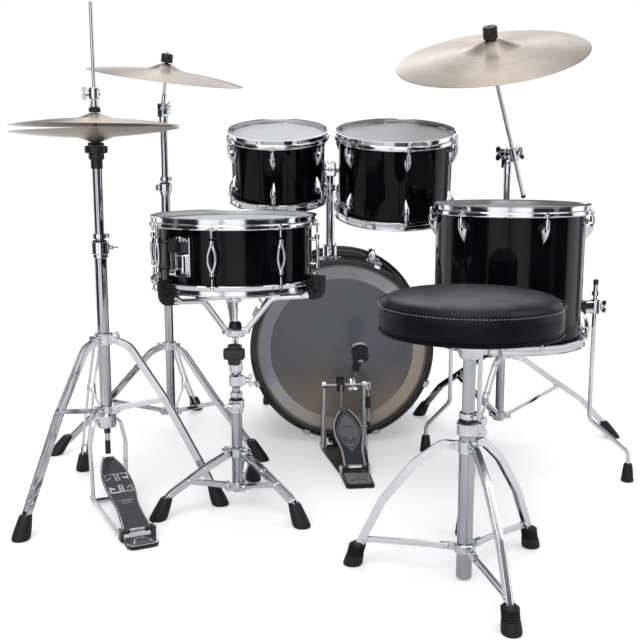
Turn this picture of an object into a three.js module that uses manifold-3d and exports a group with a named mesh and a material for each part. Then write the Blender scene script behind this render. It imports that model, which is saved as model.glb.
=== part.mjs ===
// An acoustic drum kit set out for playing: bass drum with pedal, two mounted toms, floor tom, snare drum
// on its stand, hi-hat, crash and ride cymbals on stands, and a round throne.
//
// Millimetres, +Z up. The layout is written with the throne's post at (0, 0), +X to the drummer's right and
// +Y from the drummer towards the bass drum. The last lines move the kit so that its origin is on the floor
// under the middle of its bounding box.
import * as THREE from "three";
import { mergeVertices } from "three/addons/utils/BufferGeometryUtils.js";
import Module from "manifold-3d";

const wasm = await Module();
wasm.setup();

// ---------------------------------------------------------------- driving dimensions

const INCH = 25.4;
const GAP = 0.5; // running clearance between pieces that slide or turn in each other
const TOUCH = 0.3; // gap between pieces that rest on each other
const ROUND = 28; // sides of a drum or a cymbal
const TUBE_SIDES = 10;

const HOOP = { reach: 13, wall: 8, height: 22, headDrop: 12 }; // steel hoops, measured from the shell
const WOOD_HOOP = { inner: 3.4, outer: 12, depth: 38, headDrop: 17 };
const SHELL_WALL = 6;

const BASS = { at: [-225, 917], axis: 276, radius: 10 * INCH, total: 392, lugs: 8, firstLug: 22.5 };
const SMALL_TOM = {
  at: [-403, 838], top: 903, radius: 5 * INCH, total: 195, lugs: 6, firstLug: -33, tilt: 14.3,
};
const LARGE_TOM = {
  at: [-85, 805], top: 901, radius: 6 * INCH, total: 233, lugs: 6, firstLug: -23, tilt: 12.7,
};
const FLOOR_TOM = { at: [173, 529], top: 720, radius: 7 * INCH, total: 339, lugs: 6, firstLug: -16 };
const SNARE = {
  at: [-485, 386], top: 703, radius: 7 * INCH, total: 164, lugs: 8, firstLug: -9, throwOff: -122,
};
const TOM_LUG = { size: [14, 22, 50], down: 57 }; // depth, width, height; and the drop to the lug's middle

const TOM_HOLDER = { at: [-259, 1010], radius: 12.7, arm: 792, top: 817, bottom: 455, rod: 6 };
const SMALL_BRACKET = { x: -330, reach: 16, depth: 72 };
const LARGE_BRACKET = { x: -172, reach: 16, depth: 84 };
const SPUR = { along: 300, angle: 38, hub: 15, foot: [244, 430], rod: 8 };
const FLOOR_LEG = {
  rod: 5.5, reach: 50, top: 530, knee: 172, ankle: 76, foot: 340, angles: [8, 118, 245], bracket: 461,
};

const SNARE_STAND = {
  at: SNARE.at, tube: 12.7, post: 9.5, top: 272, bottom: 44,
  collar: 142, bracket: 59, foot: 196, firstLeg: -157,
  arch: [[74, 112], [165, 57]], brace: [120, 84],
};
const CRASH = {
  at: [-728, 943], tube: 12.7, post: 9.5, top: 757, bottom: 78,
  collar: 286, bracket: 90, foot: 342, firstLeg: -155,
  arch: [[55, 272], [178, 146], [300, 38]], brace: [180, 140],
};
const RIDE = {
  at: [240, 929], tube: 12.7, post: 9.5, top: 560, bottom: 64,
  collar: 262, bracket: 80, foot: 353, firstLeg: 6,
  arch: [[66, 247], [152, 185], [250, 118], [325, 38]], brace: [175, 166],
};
const HIHAT = {
  at: [-800, 422], tube: 14, post: 11, top: 640, bottom: 194,
  collar: 408, bracket: 236, foot: 272, firstLeg: -123,
  arch: [[60, 392], [143, 262], [235, 84]], brace: [140, 262],
};
const STAND_LEG = { width: 16, thickness: 3.4, braceWidth: 12, boot: [21, 52] };
const HAT = {
  radius: 7.5 * INCH, edge: 901, gap: 9, lean: 1.6, bell: 46, bellHeight: 12, bow: 16, sheet: 1.6,
};
const HAT_PEDAL = { turn: 25.9, hinge: 250, heel: 309, toe: [8, 112], hingeHeight: 22 };
const HAT_ROD = { radius: 4, top: 1173, bottom: 132 };
const CLUTCH = { top: 985, bottom: 924 };

const CRASH_CYMBAL = {
  radius: 8.5 * INCH, bell: 60, bellHeight: 18, bow: 20, sheet: 1.6, tilt: 6.4, roll: 7.4,
};
const CRASH_TILTER = { pivot: 965, reach: 100.5 };
const RIDE_CYMBAL = {
  radius: 10 * INCH, bell: 80, bellHeight: 22, bow: 24, sheet: 2, tilt: 19.4, roll: -9.5,
};
const RIDE_ARM = {
  pivot: 838, reach: 273, tail: 140, lean: 30, turn: -38.7, rod: 5.5, aside: 17, seat: 61,
};
const SLEEVE = 4.4; // the rod through a cymbal's hole
const CRASH_KNOB = { radius: 16, top: 28 };
const RIDE_KNOB = { radius: 19, top: 36 };

const THRONE = {
  tube: 15.5, post: 12.5, top: 326, bottom: 4, leg: [27, 275], bracket: 66, foot: 231, firstLeg: -77,
};
const THRONE_LEG = {
  arch: [[48, 277], [105, 230], [170, 144], [207, 66]], end: [222, 30], brace: [205, 58], boot: [20, 43],
};
const LEG_BAR = { width: 16, thickness: 3, spacing: 7 };
const SEAT = { radius: 178, bottom: 505, edge: 561, crown: 30 };
const SEAT_POST = { bottom: 200, top: 490, hub: 27 };

const KICK = { at: [-220, 858], turn: 6, axle: 190, width: 115, hinge: 621, heel: 516, plate: 74 };
const KICK_BOARD = { toe: [842, 116], hingeHeight: 22, width: 86 };
const BEATER = { reach: 190, lean: 50, head: 24, offset: 24 };
const AXLE = 5.5;

// ---------------------------------------------------------------- finishes

const finish = (color, roughness, metalness) =>
  new THREE.MeshStandardMaterial({ color, roughness, metalness });
const CHROME = finish(0xd6d8dc, 0.12, 1);
const SATIN = finish(0xb9bcc1, 0.35, 1);
const BLACK_WRAP = finish(0x0b0b0d, 0.08, 0);
const CLEAR_HEAD = finish(0x6d6a66, 0.25, 0);
const COATED_HEAD = finish(0xe9e9ea, 0.6, 0);
const BRONZE = finish(0xcdb79c, 0.32, 1);
const VINYL = finish(0x15151a, 0.45, 0);
const BLACK_PAINT = finish(0x121214, 0.3, 0);
const CHARCOAL = finish(0x34363a, 0.45, 0.6);

// ---------------------------------------------------------------- solids

const radians = THREE.MathUtils.degToRad;

function solidOf(geometry) {
  const bare = geometry.index ? geometry.toNonIndexed() : geometry.clone();
  bare.deleteAttribute("normal");
  bare.deleteAttribute("uv");
  const merged = mergeVertices(bare, 1e-3);
  const vertProperties = merged.attributes.position.array;
  const triVerts = Uint32Array.from(merged.index.array);
  return new wasm.Manifold(new wasm.Mesh({ numProp: 3, vertProperties, triVerts }));
}

function geometryOf(solid) {
  const mesh = solid.getMesh();
  return new THREE.BufferGeometry()
    .setAttribute("position", new THREE.BufferAttribute(Float32Array.from(mesh.vertProperties), 3))
    .setIndex(new THREE.BufferAttribute(Uint32Array.from(mesh.triVerts), 1))
    .toNonIndexed();
}

function join(...geometries) {
  return geometryOf(geometries.map(solidOf).reduce((whole, part) => whole.add(part)));
}

function cut(body, ...tools) {
  return geometryOf(tools.map(solidOf).reduce((left, tool) => left.subtract(tool), solidOf(body)));
}

// A profile of [radius, height] points turned about +Z, listed anticlockwise with the axis on its left.
function turned(profile, sides = ROUND) {
  const points = profile.map(([radius, height]) => new THREE.Vector2(radius, height));
  return new THREE.LatheGeometry(points, sides).rotateX(Math.PI / 2);
}

function ring(inner, outer, bottom, top, sides = TUBE_SIDES) {
  return turned([[inner, bottom], [outer, bottom], [outer, top], [inner, top], [inner, bottom]], sides);
}

function rodUp(radius, bottom, top, sides = TUBE_SIDES) {
  return turned([[0, bottom], [radius, bottom], [radius, top], [0, top]], sides);
}

function block([width, depth, height], [x, y, z]) {
  return new THREE.BoxGeometry(width, depth, height).translate(x, y, z);
}

// A round rod between two points.
function rodBetween(from, to, radius, sides = 8) {
  const start = new THREE.Vector3(...from);
  const along = new THREE.Vector3(...to).sub(start);
  const up = new THREE.Vector3(0, 0, 1);
  const turn = new THREE.Quaternion().setFromUnitVectors(up, along.clone().normalize());
  return rodUp(radius, 0, along.length(), sides).applyQuaternion(turn).translate(...from);
}

// A bent rod: straight stretches that meet at balls.
function bentRod(points, radius, sides = 8) {
  const stretches = points.slice(1).map((point, i) => rodBetween(points[i], point, radius, sides));
  const elbow = new THREE.SphereGeometry(radius, 6, 4);
  const elbows = points.slice(1, -1).map((point) => elbow.clone().translate(...point));
  return join(...stretches, ...elbows);
}

// A flat bar on edge in the radius-height plane, along a path of [radius, height] points.
function bar(path, width, thickness, aside = 0) {
  const upper = [];
  const lower = [];
  path.forEach(([radius, height], i) => {
    const before = path[Math.max(i - 1, 0)];
    const after = path[Math.min(i + 1, path.length - 1)];
    const along = new THREE.Vector2(after[0] - before[0], after[1] - before[1]).setLength(width / 2);
    upper.unshift(new THREE.Vector2(radius - along.y, height + along.x));
    lower.push(new THREE.Vector2(radius + along.y, height - along.x));
  });
  const outline = new THREE.Shape([...lower, ...upper]);
  return new THREE.ExtrudeGeometry(outline, { depth: thickness, bevelEnabled: false })
    .translate(0, 0, -thickness / 2 - aside)
    .rotateX(Math.PI / 2);
}

const kit = new THREE.Group();

function piece(name, geometry, material, parent = kit) {
  const mesh = new THREE.Mesh(geometry, material);
  mesh.name = name;
  parent.add(mesh);
}

function groupAt([x, y], z = 0) {
  const group = new THREE.Group();
  group.position.set(x, y, z);
  kit.add(group);
  return group;
}

// ---------------------------------------------------------------- drums
// A drum is made in its own frame: the batter hoop's rim at height 0, the rest of the drum below it.

// The lugs round a shell, each level of them a ring of blocks sunk a little into it.
function lugs(drum, [depth, width, height], levels) {
  const sunk = 2;
  const lug = block([depth, width, height], [drum.radius + depth / 2 - sunk, 0, 0]);
  const angles = Array.from({ length: drum.lugs }, (_, i) => drum.firstLug + (360 / drum.lugs) * i);
  return angles.flatMap((angle) =>
    levels.map((level) => lug.clone().rotateZ(radians(angle)).translate(0, 0, level)),
  );
}

function shellTube(drum, headDrop) {
  const end = headDrop + 1.5 + TOUCH;
  return ring(drum.radius - SHELL_WALL, drum.radius, end - drum.total, -end, ROUND);
}

// The room inside a shell, short of its ends, which a bracket must not reach into.
function insideOf(drum) {
  const short = 30;
  return rodUp(drum.radius - SHELL_WALL, short - drum.total, -short, ROUND);
}

function twoRowShell(drum) {
  const levels = [-TOM_LUG.down, TOM_LUG.down - drum.total];
  return join(shellTube(drum, HOOP.headDrop), ...lugs(drum, TOM_LUG.size, levels));
}

function steelHoop(drum, top) {
  const outer = drum.radius + HOOP.reach;
  return ring(outer - HOOP.wall, outer, top - HOOP.height, top, ROUND);
}

function woodHoop(drum, top) {
  const { inner, outer, depth } = WOOD_HOOP;
  return ring(drum.radius + inner, drum.radius + outer, top - depth, top, ROUND);
}

// The film and the collar that folds down outside the shell's edge.
function headOf(drum, collar) {
  const inside = drum.radius + TOUCH;
  const outside = drum.radius + 2.8;
  return turned([[0, -1.5], [inside, -1.5], [inside, -collar], [outside, -collar], [outside, 0], [0, 0]]);
}

function drumGroup(drum) {
  const group = groupAt(drum.at, drum.top);
  group.rotation.x = radians(drum.tilt ?? 0);
  return group;
}

function addDrum(prefix, drum, shell) {
  const group = drumGroup(drum);
  piece(prefix + "_shell", shell, BLACK_WRAP, group);
  piece(prefix + "_batter_hoop", steelHoop(drum, 0), CHROME, group);
  piece(prefix + "_bottom_hoop", steelHoop(drum, HOOP.height - drum.total), CHROME, group);
  piece(prefix + "_batter_head", headOf(drum, 4).translate(0, 0, -HOOP.headDrop), COATED_HEAD, group);
}

// From the kit's frame to a drum's own, for a bracket that is set out in the kit.
function intoDrum(drum, geometry) {
  return geometry.translate(-drum.at[0], -drum.at[1], -drum.top).rotateX(-radians(drum.tilt ?? 0));
}

// ---------------------------------------------------------------- bass drum

function addBassDrum() {
  const group = groupAt(BASS.at, BASS.axis);
  group.rotation.x = Math.PI / 2;
  const side = TOM_HOLDER.at[0] - BASS.at[0];
  const along = BASS.at[1] - TOM_HOLDER.at[1];
  const standing = (geometry) => geometry.rotateX(-Math.PI / 2).translate(side, 0, along);
  const surface = Math.sqrt(BASS.radius ** 2 - side ** 2);
  const receiver = standing(rodUp(20, surface - 4, BASS.radius + 46));
  const saddle = standing(block([72, 60, 12], [0, 0, surface + 1]));
  const bore = standing(rodUp(TOM_HOLDER.radius + GAP, 100, 400));
  const spurMounts = [180 + SPUR.angle, -SPUR.angle].map((angle) =>
    block([16, 44, 44], [BASS.radius + 4, 0, -SPUR.along]).rotateZ(radians(angle)),
  );
  const shell = join(
    shellTube(BASS, WOOD_HOOP.headDrop), receiver, saddle, ...spurMounts,
    ...lugs(BASS, [20, 22, 50], [-88, 88 - BASS.total]),
  );
  piece("bass_shell", cut(shell, bore), BLACK_WRAP, group);
  piece("bass_batter_hoop", woodHoop(BASS, 0), BLACK_PAINT, group);
  piece("bass_front_hoop", woodHoop(BASS, WOOD_HOOP.depth - BASS.total), BLACK_PAINT, group);
  const head = headOf(BASS, 4);
  piece("bass_batter_head", head.clone().translate(0, 0, -WOOD_HOOP.headDrop), CLEAR_HEAD, group);
  const front = head.rotateX(Math.PI).translate(0, 0, WOOD_HOOP.headDrop - BASS.total);
  piece("bass_front_head", front, COATED_HEAD, group);
}

function addSpur(name, sign) {
  const down = radians(SPUR.angle);
  const across = sign * Math.cos(down);
  const out = (radius) => [radius * across, SPUR.along, BASS.axis - radius * Math.sin(down)];
  const start = BASS.radius + 12 + TOUCH;
  const hub = rodBetween(out(start), out(start + 24), SPUR.hub, TUBE_SIDES);
  const [x, y] = [sign * SPUR.foot[0], SPUR.foot[1]];
  const leg = rodBetween(out(start + 13), [x, y, 12], SPUR.rod);
  piece(name, join(hub, leg, rodUp(12, 0, 30, 10).translate(x, y, 0)).translate(...BASS.at, 0), CHROME);
}

// ---------------------------------------------------------------- mounted toms

function addTomHolder() {
  const [x, y] = TOM_HOLDER.at;
  const post = rodUp(TOM_HOLDER.radius, TOM_HOLDER.bottom, TOM_HOLDER.top);
  const head = block([36, 34, 38], [0, 0, TOM_HOLDER.arm]);
  const arms = [SMALL_BRACKET, LARGE_BRACKET].map((bracket) =>
    rodBetween([0, 0, TOM_HOLDER.arm], [bracket.x - x, 0, TOM_HOLDER.arm], TOM_HOLDER.rod, 10),
  );
  piece("tom_holder", join(post, head, ...arms).translate(x, y, 0), CHROME);
}

// A tom's shell with the bracket that turns on the holder's arm.
function tomShell(drum, bracket) {
  const y = TOM_HOLDER.at[1];
  const z = TOM_HOLDER.arm;
  const size = [2 * bracket.reach, bracket.depth, 34];
  const body = intoDrum(drum, block(size, [bracket.x, y + 18 - bracket.depth / 2, z]));
  const arm = rodBetween([bracket.x - 60, y, z], [bracket.x + 60, y, z], TOM_HOLDER.rod + GAP, 10);
  return cut(join(twoRowShell(drum), body), intoDrum(drum, arm), insideOf(drum));
}

// ---------------------------------------------------------------- floor tom

// A leg's place: the angle of its bracket, and how far out its rod runs.
function legSpot(angle, radius) {
  return [radius * Math.cos(radians(angle)), radius * Math.sin(radians(angle))];
}

function floorTomShell() {
  const out = FLOOR_TOM.radius + FLOOR_LEG.reach;
  const level = FLOOR_LEG.bracket - FLOOR_TOM.top;
  const brackets = FLOOR_LEG.angles.map((angle) =>
    block([FLOOR_LEG.reach + 16, 30, 34], [FLOOR_TOM.radius + FLOOR_LEG.reach / 2 + 3, 0, level])
      .rotateZ(radians(angle)),
  );
  const bores = FLOOR_LEG.angles.map((angle) =>
    rodUp(FLOOR_LEG.rod + GAP, -600, 0, 10).translate(...legSpot(angle, out), 0),
  );
  const shell = join(twoRowShell(FLOOR_TOM), ...brackets);
  return cut(shell, insideOf(FLOOR_TOM), ...bores);
}

function addFloorLeg(name, angle) {
  const out = FLOOR_TOM.radius + FLOOR_LEG.reach;
  const { foot, knee, ankle } = FLOOR_LEG;
  const path = [[out, FLOOR_LEG.top], [out, knee], [foot, ankle], [foot, 14]];
  const rod = bentRod(path.map(([radius, height]) => [radius, 0, height]), FLOOR_LEG.rod);
  const leg = join(rod, boot(16, 48).translate(foot, 0, 0)).rotateZ(radians(angle));
  piece(name, leg.translate(...FLOOR_TOM.at, 0), CHROME);
}

// ---------------------------------------------------------------- snare drum and its strainer

function snareShell() {
  const throwOff = block([26, 44, 84], [SNARE.radius + 9, 0, -82]).rotateZ(radians(SNARE.throwOff));
  const tubes = lugs(SNARE, [15, 16, SNARE.total - 52], [-SNARE.total / 2]);
  return join(shellTube(SNARE, HOOP.headDrop), throwOff, ...tubes);
}

function addThrowOffLever() {
  const r = SNARE.radius + 22 + TOUCH;
  const lever = join(
    rodBetween([r + 9, -9, -112], [r + 9, 9, -112], 8.5),
    block([5, 16, 70], [r + 9, 0, -80]),
    block([12, 22, 16], [r + 11, 0, -48]),
  );
  lever.rotateZ(radians(SNARE.throwOff)).translate(...SNARE.at, SNARE.top);
  piece("throw_off_lever", lever, CHROME);
}

// ---------------------------------------------------------------- tripods

// A rubber foot, wide at the floor.
function boot(radius, height) {
  return turned([[0, 0], [radius, 0], [radius * 0.62, height], [0, height]], 8);
}

// One leg of a joined tripod: two flat bars side by side, its brace and its rubber foot.
function tripodLeg(stand, spacing) {
  const { width, thickness, braceWidth } = STAND_LEG;
  const path = [[stand.tube, stand.collar], ...stand.arch, [stand.foot - 4, 18]];
  const bars = [-1, 1].map((side) => bar(path, width, thickness, (side * spacing) / 2));
  const brace = bar([[stand.tube, stand.bracket], stand.brace], braceWidth, spacing + 3);
  return join(...bars, brace, boot(...STAND_LEG.boot).translate(stand.foot, 0, 0));
}

// The base of a stand: an open tube, the leg collar, the brace collar, three legs and the height clamp.
function tripod(stand, spacing, { clamp = 26, collar = 24 } = {}) {
  const leg = tripodLeg(stand, spacing);
  const legs = [0, 120, 240].map((turn) => leg.clone().rotateZ(radians(stand.firstLeg + turn)));
  const whole = join(
    rodUp(stand.tube, stand.bottom, stand.top),
    rodUp(stand.tube + 7, stand.collar - collar / 2, stand.collar + collar / 2),
    rodUp(stand.tube + 6, stand.bracket - 9, stand.bracket + 9),
    rodUp(stand.tube + 4, stand.top - clamp, stand.top),
    block([20, 14, 22], [stand.tube + 8, 0, stand.top - clamp / 2]),
    ...legs,
  );
  return cut(whole, rodUp(stand.post + GAP, stand.bottom - 20, stand.top + 20));
}

// ---------------------------------------------------------------- snare stand

const BASKET = { pivot: 384, ring: 430, arms: [-134, -14, 106] };

function addSnareStand() {
  const group = groupAt(SNARE_STAND.at);
  piece("snare_stand_base", tripod(SNARE_STAND, 13), CHROME, group);
  const fork = [-1, 1].map((side) => block([6, 22, 46], [side * 12, 0, BASKET.pivot - 8]));
  const tube = join(
    rodUp(SNARE_STAND.post, 120, BASKET.pivot - 34),
    rodUp(16, BASKET.pivot - 50, BASKET.pivot - 28),
    ...fork,
  );
  piece("snare_stand_height_tube", tube, CHROME, group);
  const bottom = SNARE.top - SNARE.total;
  const inner = SNARE.radius + HOOP.reach + 1;
  const arms = BASKET.arms.map((angle) => {
    const low = [[0, 0, BASKET.ring], [26, 0, BASKET.ring + 6]];
    const arm = bentRod([...low, [92, 0, bottom - 48], [inner - 24, 0, bottom - 34]], 6);
    const grip = join(
      block([40, 26, 14], [inner - 10, 0, bottom - 7 - TOUCH - 1]),
      block([9, 26, 54], [inner + 5.5, 0, bottom + 12]),
      rodBetween([inner - 26, 0, bottom - 36], [inner - 12, 0, bottom - 10], 7),
    );
    return join(arm, grip).rotateZ(radians(angle));
  });
  const hub = [
    rodBetween([-8.4, 0, BASKET.pivot], [8.4, 0, BASKET.pivot], 9, 10),
    rodUp(7, BASKET.pivot, BASKET.ring + 8),
    rodUp(22, BASKET.ring - 9, BASKET.ring + 9),
  ];
  piece("snare_basket", join(...hub, ...arms), CHROME, group);
}

// ---------------------------------------------------------------- cymbals

// A cymbal about its own axis, its edge at height 0: a bow, a bell and a centre hole, in sheet metal.
function cymbal({ radius, bell, bellHeight, bow, sheet }) {
  const top = (r) => {
    const dome = r < bell ? bellHeight * Math.cos((Math.PI / 2) * (r / bell)) ** 2 : 0;
    return bow * (1 - (r / radius) ** 2) + dome;
  };
  const stations = [7, bell * 0.35, bell * 0.7, bell, radius * 0.6, radius];
  const upper = stations.map((r) => [r, top(r) + sheet]);
  const lower = stations.map((r) => [r, top(r)]);
  return turned([...lower, ...upper.reverse(), lower[0]]);
}

// How high the top of the bell's inside stands above the edge.
function cymbalHub({ bow, bellHeight }) {
  return bow + bellHeight;
}

// A stand's head: a group at the tilter's pivot that leans as its cymbal does.
function leaningGroup(base, height, { tilt, roll }) {
  const head = new THREE.Group();
  head.position.z = height;
  head.rotation.set(radians(tilt), radians(roll), 0, "YXZ");
  base.add(head);
  return head;
}

// Which way round a tilter's pivot pin lies for a cymbal that leans back by tilt and aside by roll.
function pinTurn({ tilt, roll }) {
  return Math.atan2(Math.sin(radians(roll)), Math.sin(radians(tilt)));
}

// The seat under a cymbal's bell, the sleeve through its hole and the knob on top, about its axis.
function cymbalSeat(hub, knob) {
  const felts = rodUp(13, hub - 34, hub - 8);
  const sleeve = rodUp(SLEEVE, hub - 60, hub + knob.top + 5);
  return join(sleeve, felts, rodUp(7, hub - 60, hub - 30), rodUp(knob.radius, hub + 3, hub + knob.top));
}

function addCrash() {
  const base = groupAt(CRASH.at);
  piece("crash_stand_base", tripod(CRASH, 12), CHROME, base);
  const fork = [-1, 1].map((side) => block([5, 20, 34], [side * 9.5, 0, CRASH_TILTER.pivot - 6]));
  const shoulder = block([24, 20, 8], [0, 0, CRASH_TILTER.pivot - 22]);
  const tube = join(rodUp(CRASH.post, 480, CRASH_TILTER.pivot - 20), shoulder, ...fork);
  const turn = pinTurn(CRASH_CYMBAL);
  piece("crash_height_tube", tube.rotateZ(turn), CHROME, base);
  const head = leaningGroup(base, CRASH_TILTER.pivot, CRASH_CYMBAL);
  const edge = CRASH_TILTER.reach - cymbalHub(CRASH_CYMBAL) / 2;
  const hub = edge + cymbalHub(CRASH_CYMBAL);
  const stem = join(rodUp(SLEEVE, 0, hub - 40), rodUp(6.5, 10, 34));
  const knuckle = rodBetween([-6.5, 0, 0], [6.5, 0, 0], 9, 10).rotateZ(turn);
  piece("crash_tilter", join(stem, knuckle, cymbalSeat(hub, CRASH_KNOB)), CHROME, head);
  piece("crash_cymbal", cymbal(CRASH_CYMBAL).translate(0, 0, edge), BRONZE, head);
}

function addRide() {
  const base = groupAt(RIDE.at);
  piece("ride_stand_base", tripod(RIDE, 12), CHROME, base);
  const turn = radians(RIDE_ARM.turn);
  const knuckle = rodBetween([-16, 0, RIDE_ARM.pivot], [-TOUCH, 0, RIDE_ARM.pivot], 15, 12);
  const neck = block([15, 16, 34], [-8.5, 0, RIDE_ARM.pivot - 22]);
  const tube = join(rodUp(RIDE.post, 300, RIDE_ARM.pivot - 22), knuckle, neck);
  piece("ride_height_tube", tube.rotateZ(turn), CHROME, base);
  const head = new THREE.Group();
  head.position.z = RIDE_ARM.pivot;
  head.rotation.set(radians(RIDE_ARM.lean), 0, turn, "ZXY");
  base.add(head);
  const bore = rodUp(RIDE_ARM.rod + GAP, -40, 40, 10).translate(RIDE_ARM.aside, 0, 0);
  piece("ride_tilter", cut(rodBetween([0, 0, 0], [30, 0, 0], 15, 12), bore), CHROME, head);
  const { aside, reach, tail } = RIDE_ARM;
  const rod = rodUp(RIDE_ARM.rod, -tail, reach, 10).translate(aside, 0, 0);
  const end = new THREE.Vector3(aside, 0, reach).applyEuler(head.rotation);
  const seat = leaningGroup(base, RIDE_ARM.pivot + end.z, RIDE_CYMBAL);
  seat.position.setX(end.x).setY(end.y);
  const rise = RIDE_ARM.seat;
  const knee = rodBetween([-11, 0, 0], [11, 0, 0], 10);
  const stem = join(rodUp(SLEEVE, 0, rise), knee, cymbalSeat(rise, RIDE_KNOB));
  stem.applyQuaternion(seat.quaternion).translate(...end);
  const boom = join(rod.applyQuaternion(head.quaternion), stem).translate(0, 0, RIDE_ARM.pivot);
  piece("ride_boom_arm", boom, CHROME, base);
  piece("ride_cymbal", cymbal(RIDE_CYMBAL).translate(0, 0, rise - cymbalHub(RIDE_CYMBAL)), BRONZE, seat);
}

// ---------------------------------------------------------------- hi-hat

// The frame under a hi-hat's tube: a cast block, a yoke down to the floor, and rods out to the heel plate.
function hatFrame() {
  const { hinge, heel, hingeHeight } = HAT_PEDAL;
  const [front, back] = [-hinge, -heel];
  return [
    block([74, 34, 26], [0, 0, 206]),
    ...[-1, 1].map((side) => block([8, 22, 196], [side * 40, 0, 108])),
    ...[-1, 1].map((side) => rodBetween([side * 40, 0, 16], [side * 36, front, 12], 4)),
    block([80, heel - hinge - 6, 9], [0, (front + back) / 2 - 3, 6.5]),
    ...[-1, 1].map((side) => block([7, 22, 26], [side * 37, front, hingeHeight - 7])),
    block([88, 26, 8], [0, 0, 12]),
  ];
}

function footboard(hinge, hingeHeight, [toe, toeHeight], width, hingeWidth) {
  const along = [toe - hinge, toeHeight - hingeHeight];
  const [length, slope] = [Math.hypot(...along), Math.atan2(along[1], along[0])];
  const outline = new THREE.Shape();
  outline.moveTo(-hingeWidth / 2, 0);
  outline.bezierCurveTo(-hingeWidth / 2, length * 0.3, -width / 2, length * 0.35, -width / 2, length * 0.6);
  outline.bezierCurveTo(-width / 2, length * 0.85, -width * 0.3, length, -width * 0.2, length);
  outline.lineTo(width * 0.2, length);
  outline.bezierCurveTo(width * 0.3, length, width / 2, length * 0.85, width / 2, length * 0.6);
  outline.bezierCurveTo(width / 2, length * 0.35, hingeWidth / 2, length * 0.3, hingeWidth / 2, 0);
  const board = new THREE.ExtrudeGeometry(outline, { depth: 6, bevelEnabled: false, curveSegments: 4 });
  const knuckle = rodBetween([-hingeWidth / 2, 0, 0], [hingeWidth / 2, 0, 0], 6);
  return join(board.translate(0, 0, -2), knuckle).rotateX(slope).translate(0, hinge, hingeHeight);
}

function addHiHat() {
  const base = groupAt(HIHAT.at);
  const pedal = new THREE.Group();
  pedal.rotation.z = radians(HAT_PEDAL.turn);
  base.add(pedal);
  const turnedFrame = hatFrame().map((part) => part.rotateZ(radians(HAT_PEDAL.turn)));
  const frame = cut(join(tripod(HIHAT, 14), ...turnedFrame), rodUp(HIHAT.post + GAP, 180, 700));
  piece("hihat_stand_base", frame, CHROME, base);
  const boardWidth = 62;
  const board = footboard(-HAT_PEDAL.hinge, HAT_PEDAL.hingeHeight, HAT_PEDAL.toe, 66, boardWidth);
  piece("hihat_footboard", board, CHARCOAL, pedal);
  const seat = HAT.edge - HAT.gap - HAT.bow - HAT.bellHeight;
  const [bottomOfCup, shoulder, rim] = [seat - 56, seat - 23, seat - 8];
  const flare = [[17.5, shoulder - 1], [26, shoulder + 1]];
  const cup = [[0, bottomOfCup], [13.4, bottomOfCup], ...flare, [26, rim], [0, rim]];
  const tube = join(rodUp(HIHAT.post, 330, seat - 22), turned(cup, 14));
  piece("hihat_upper_tube", cut(tube, rodUp(HAT_ROD.radius + GAP, 300, 900, 10)), CHROME, base);
  piece("hihat_pull_rod", rodUp(HAT_ROD.radius, HAT_ROD.bottom, HAT_ROD.top, 10), CHROME, base);
  const sheet = cymbal(HAT);
  piece("hihat_top_cymbal", sheet.clone().translate(0, 0, HAT.edge), BRONZE, base);
  const bottom = new THREE.Group();
  bottom.position.z = HAT.edge - HAT.gap;
  bottom.rotation.y = -radians(HAT.lean);
  base.add(bottom);
  piece("hihat_bottom_cymbal", sheet.rotateX(Math.PI), BRONZE, bottom);
  const crown = HAT.edge + HAT.bow + HAT.bellHeight + HAT.sheet;
  const clutch = join(
    rodUp(6, CLUTCH.bottom, CLUTCH.top), rodUp(14, crown + TOUCH, crown + 10),
    block([24, 20, 18], [4, 0, CLUTCH.top - 12]),
  );
  piece("hihat_clutch", cut(clutch, rodUp(HAT_ROD.radius + GAP, 800, 1100, 10)), CHROME, base);
}

// ---------------------------------------------------------------- throne

// A leg along +X: two bars side by side, tied at the foot.
function throneLeg() {
  const { width, thickness, spacing } = LEG_BAR;
  const path = [THRONE.leg, ...THRONE_LEG.arch, THRONE_LEG.end];
  const aside = (spacing + thickness) / 2;
  const bars = [-1, 1].map((side) => bar(path, width, thickness, side * aside));
  const shoe = boot(...THRONE_LEG.boot).translate(THRONE.foot, 0, 0);
  const [endRadius, endHeight] = THRONE_LEG.end;
  const tie = block([10, spacing + thickness, 10], [endRadius + 1, 0, endHeight]);
  return join(...bars, shoe, tie);
}

// A brace along +X, from its forked end at the collar to its pivot between a leg's bars.
function throneBrace() {
  const inner = THRONE.leg[0] + 5;
  const level = THRONE.bracket - 1;
  const strip = [[inner, THRONE.bracket], [inner + 21, level]];
  const strips = [-1, 1].map((side) => bar(strip, 12, 2.4, side * 5.2));
  const yoke = block([8, 12.8, 12], [inner + 18, 0, level]);
  return join(bar([[inner + 17, level], THRONE_LEG.brace], 11, 5.6), yoke, ...strips);
}

function cushion() {
  const { radius, bottom, edge, crown } = SEAT;
  const side = [[radius - 8, bottom], [radius, bottom + 8], [radius, edge], [radius - 10, edge + 9]];
  return turned([[0, bottom], ...side, [radius * 0.5, edge + crown * 0.7], [0, edge + crown * 0.9]]);
}

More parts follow.
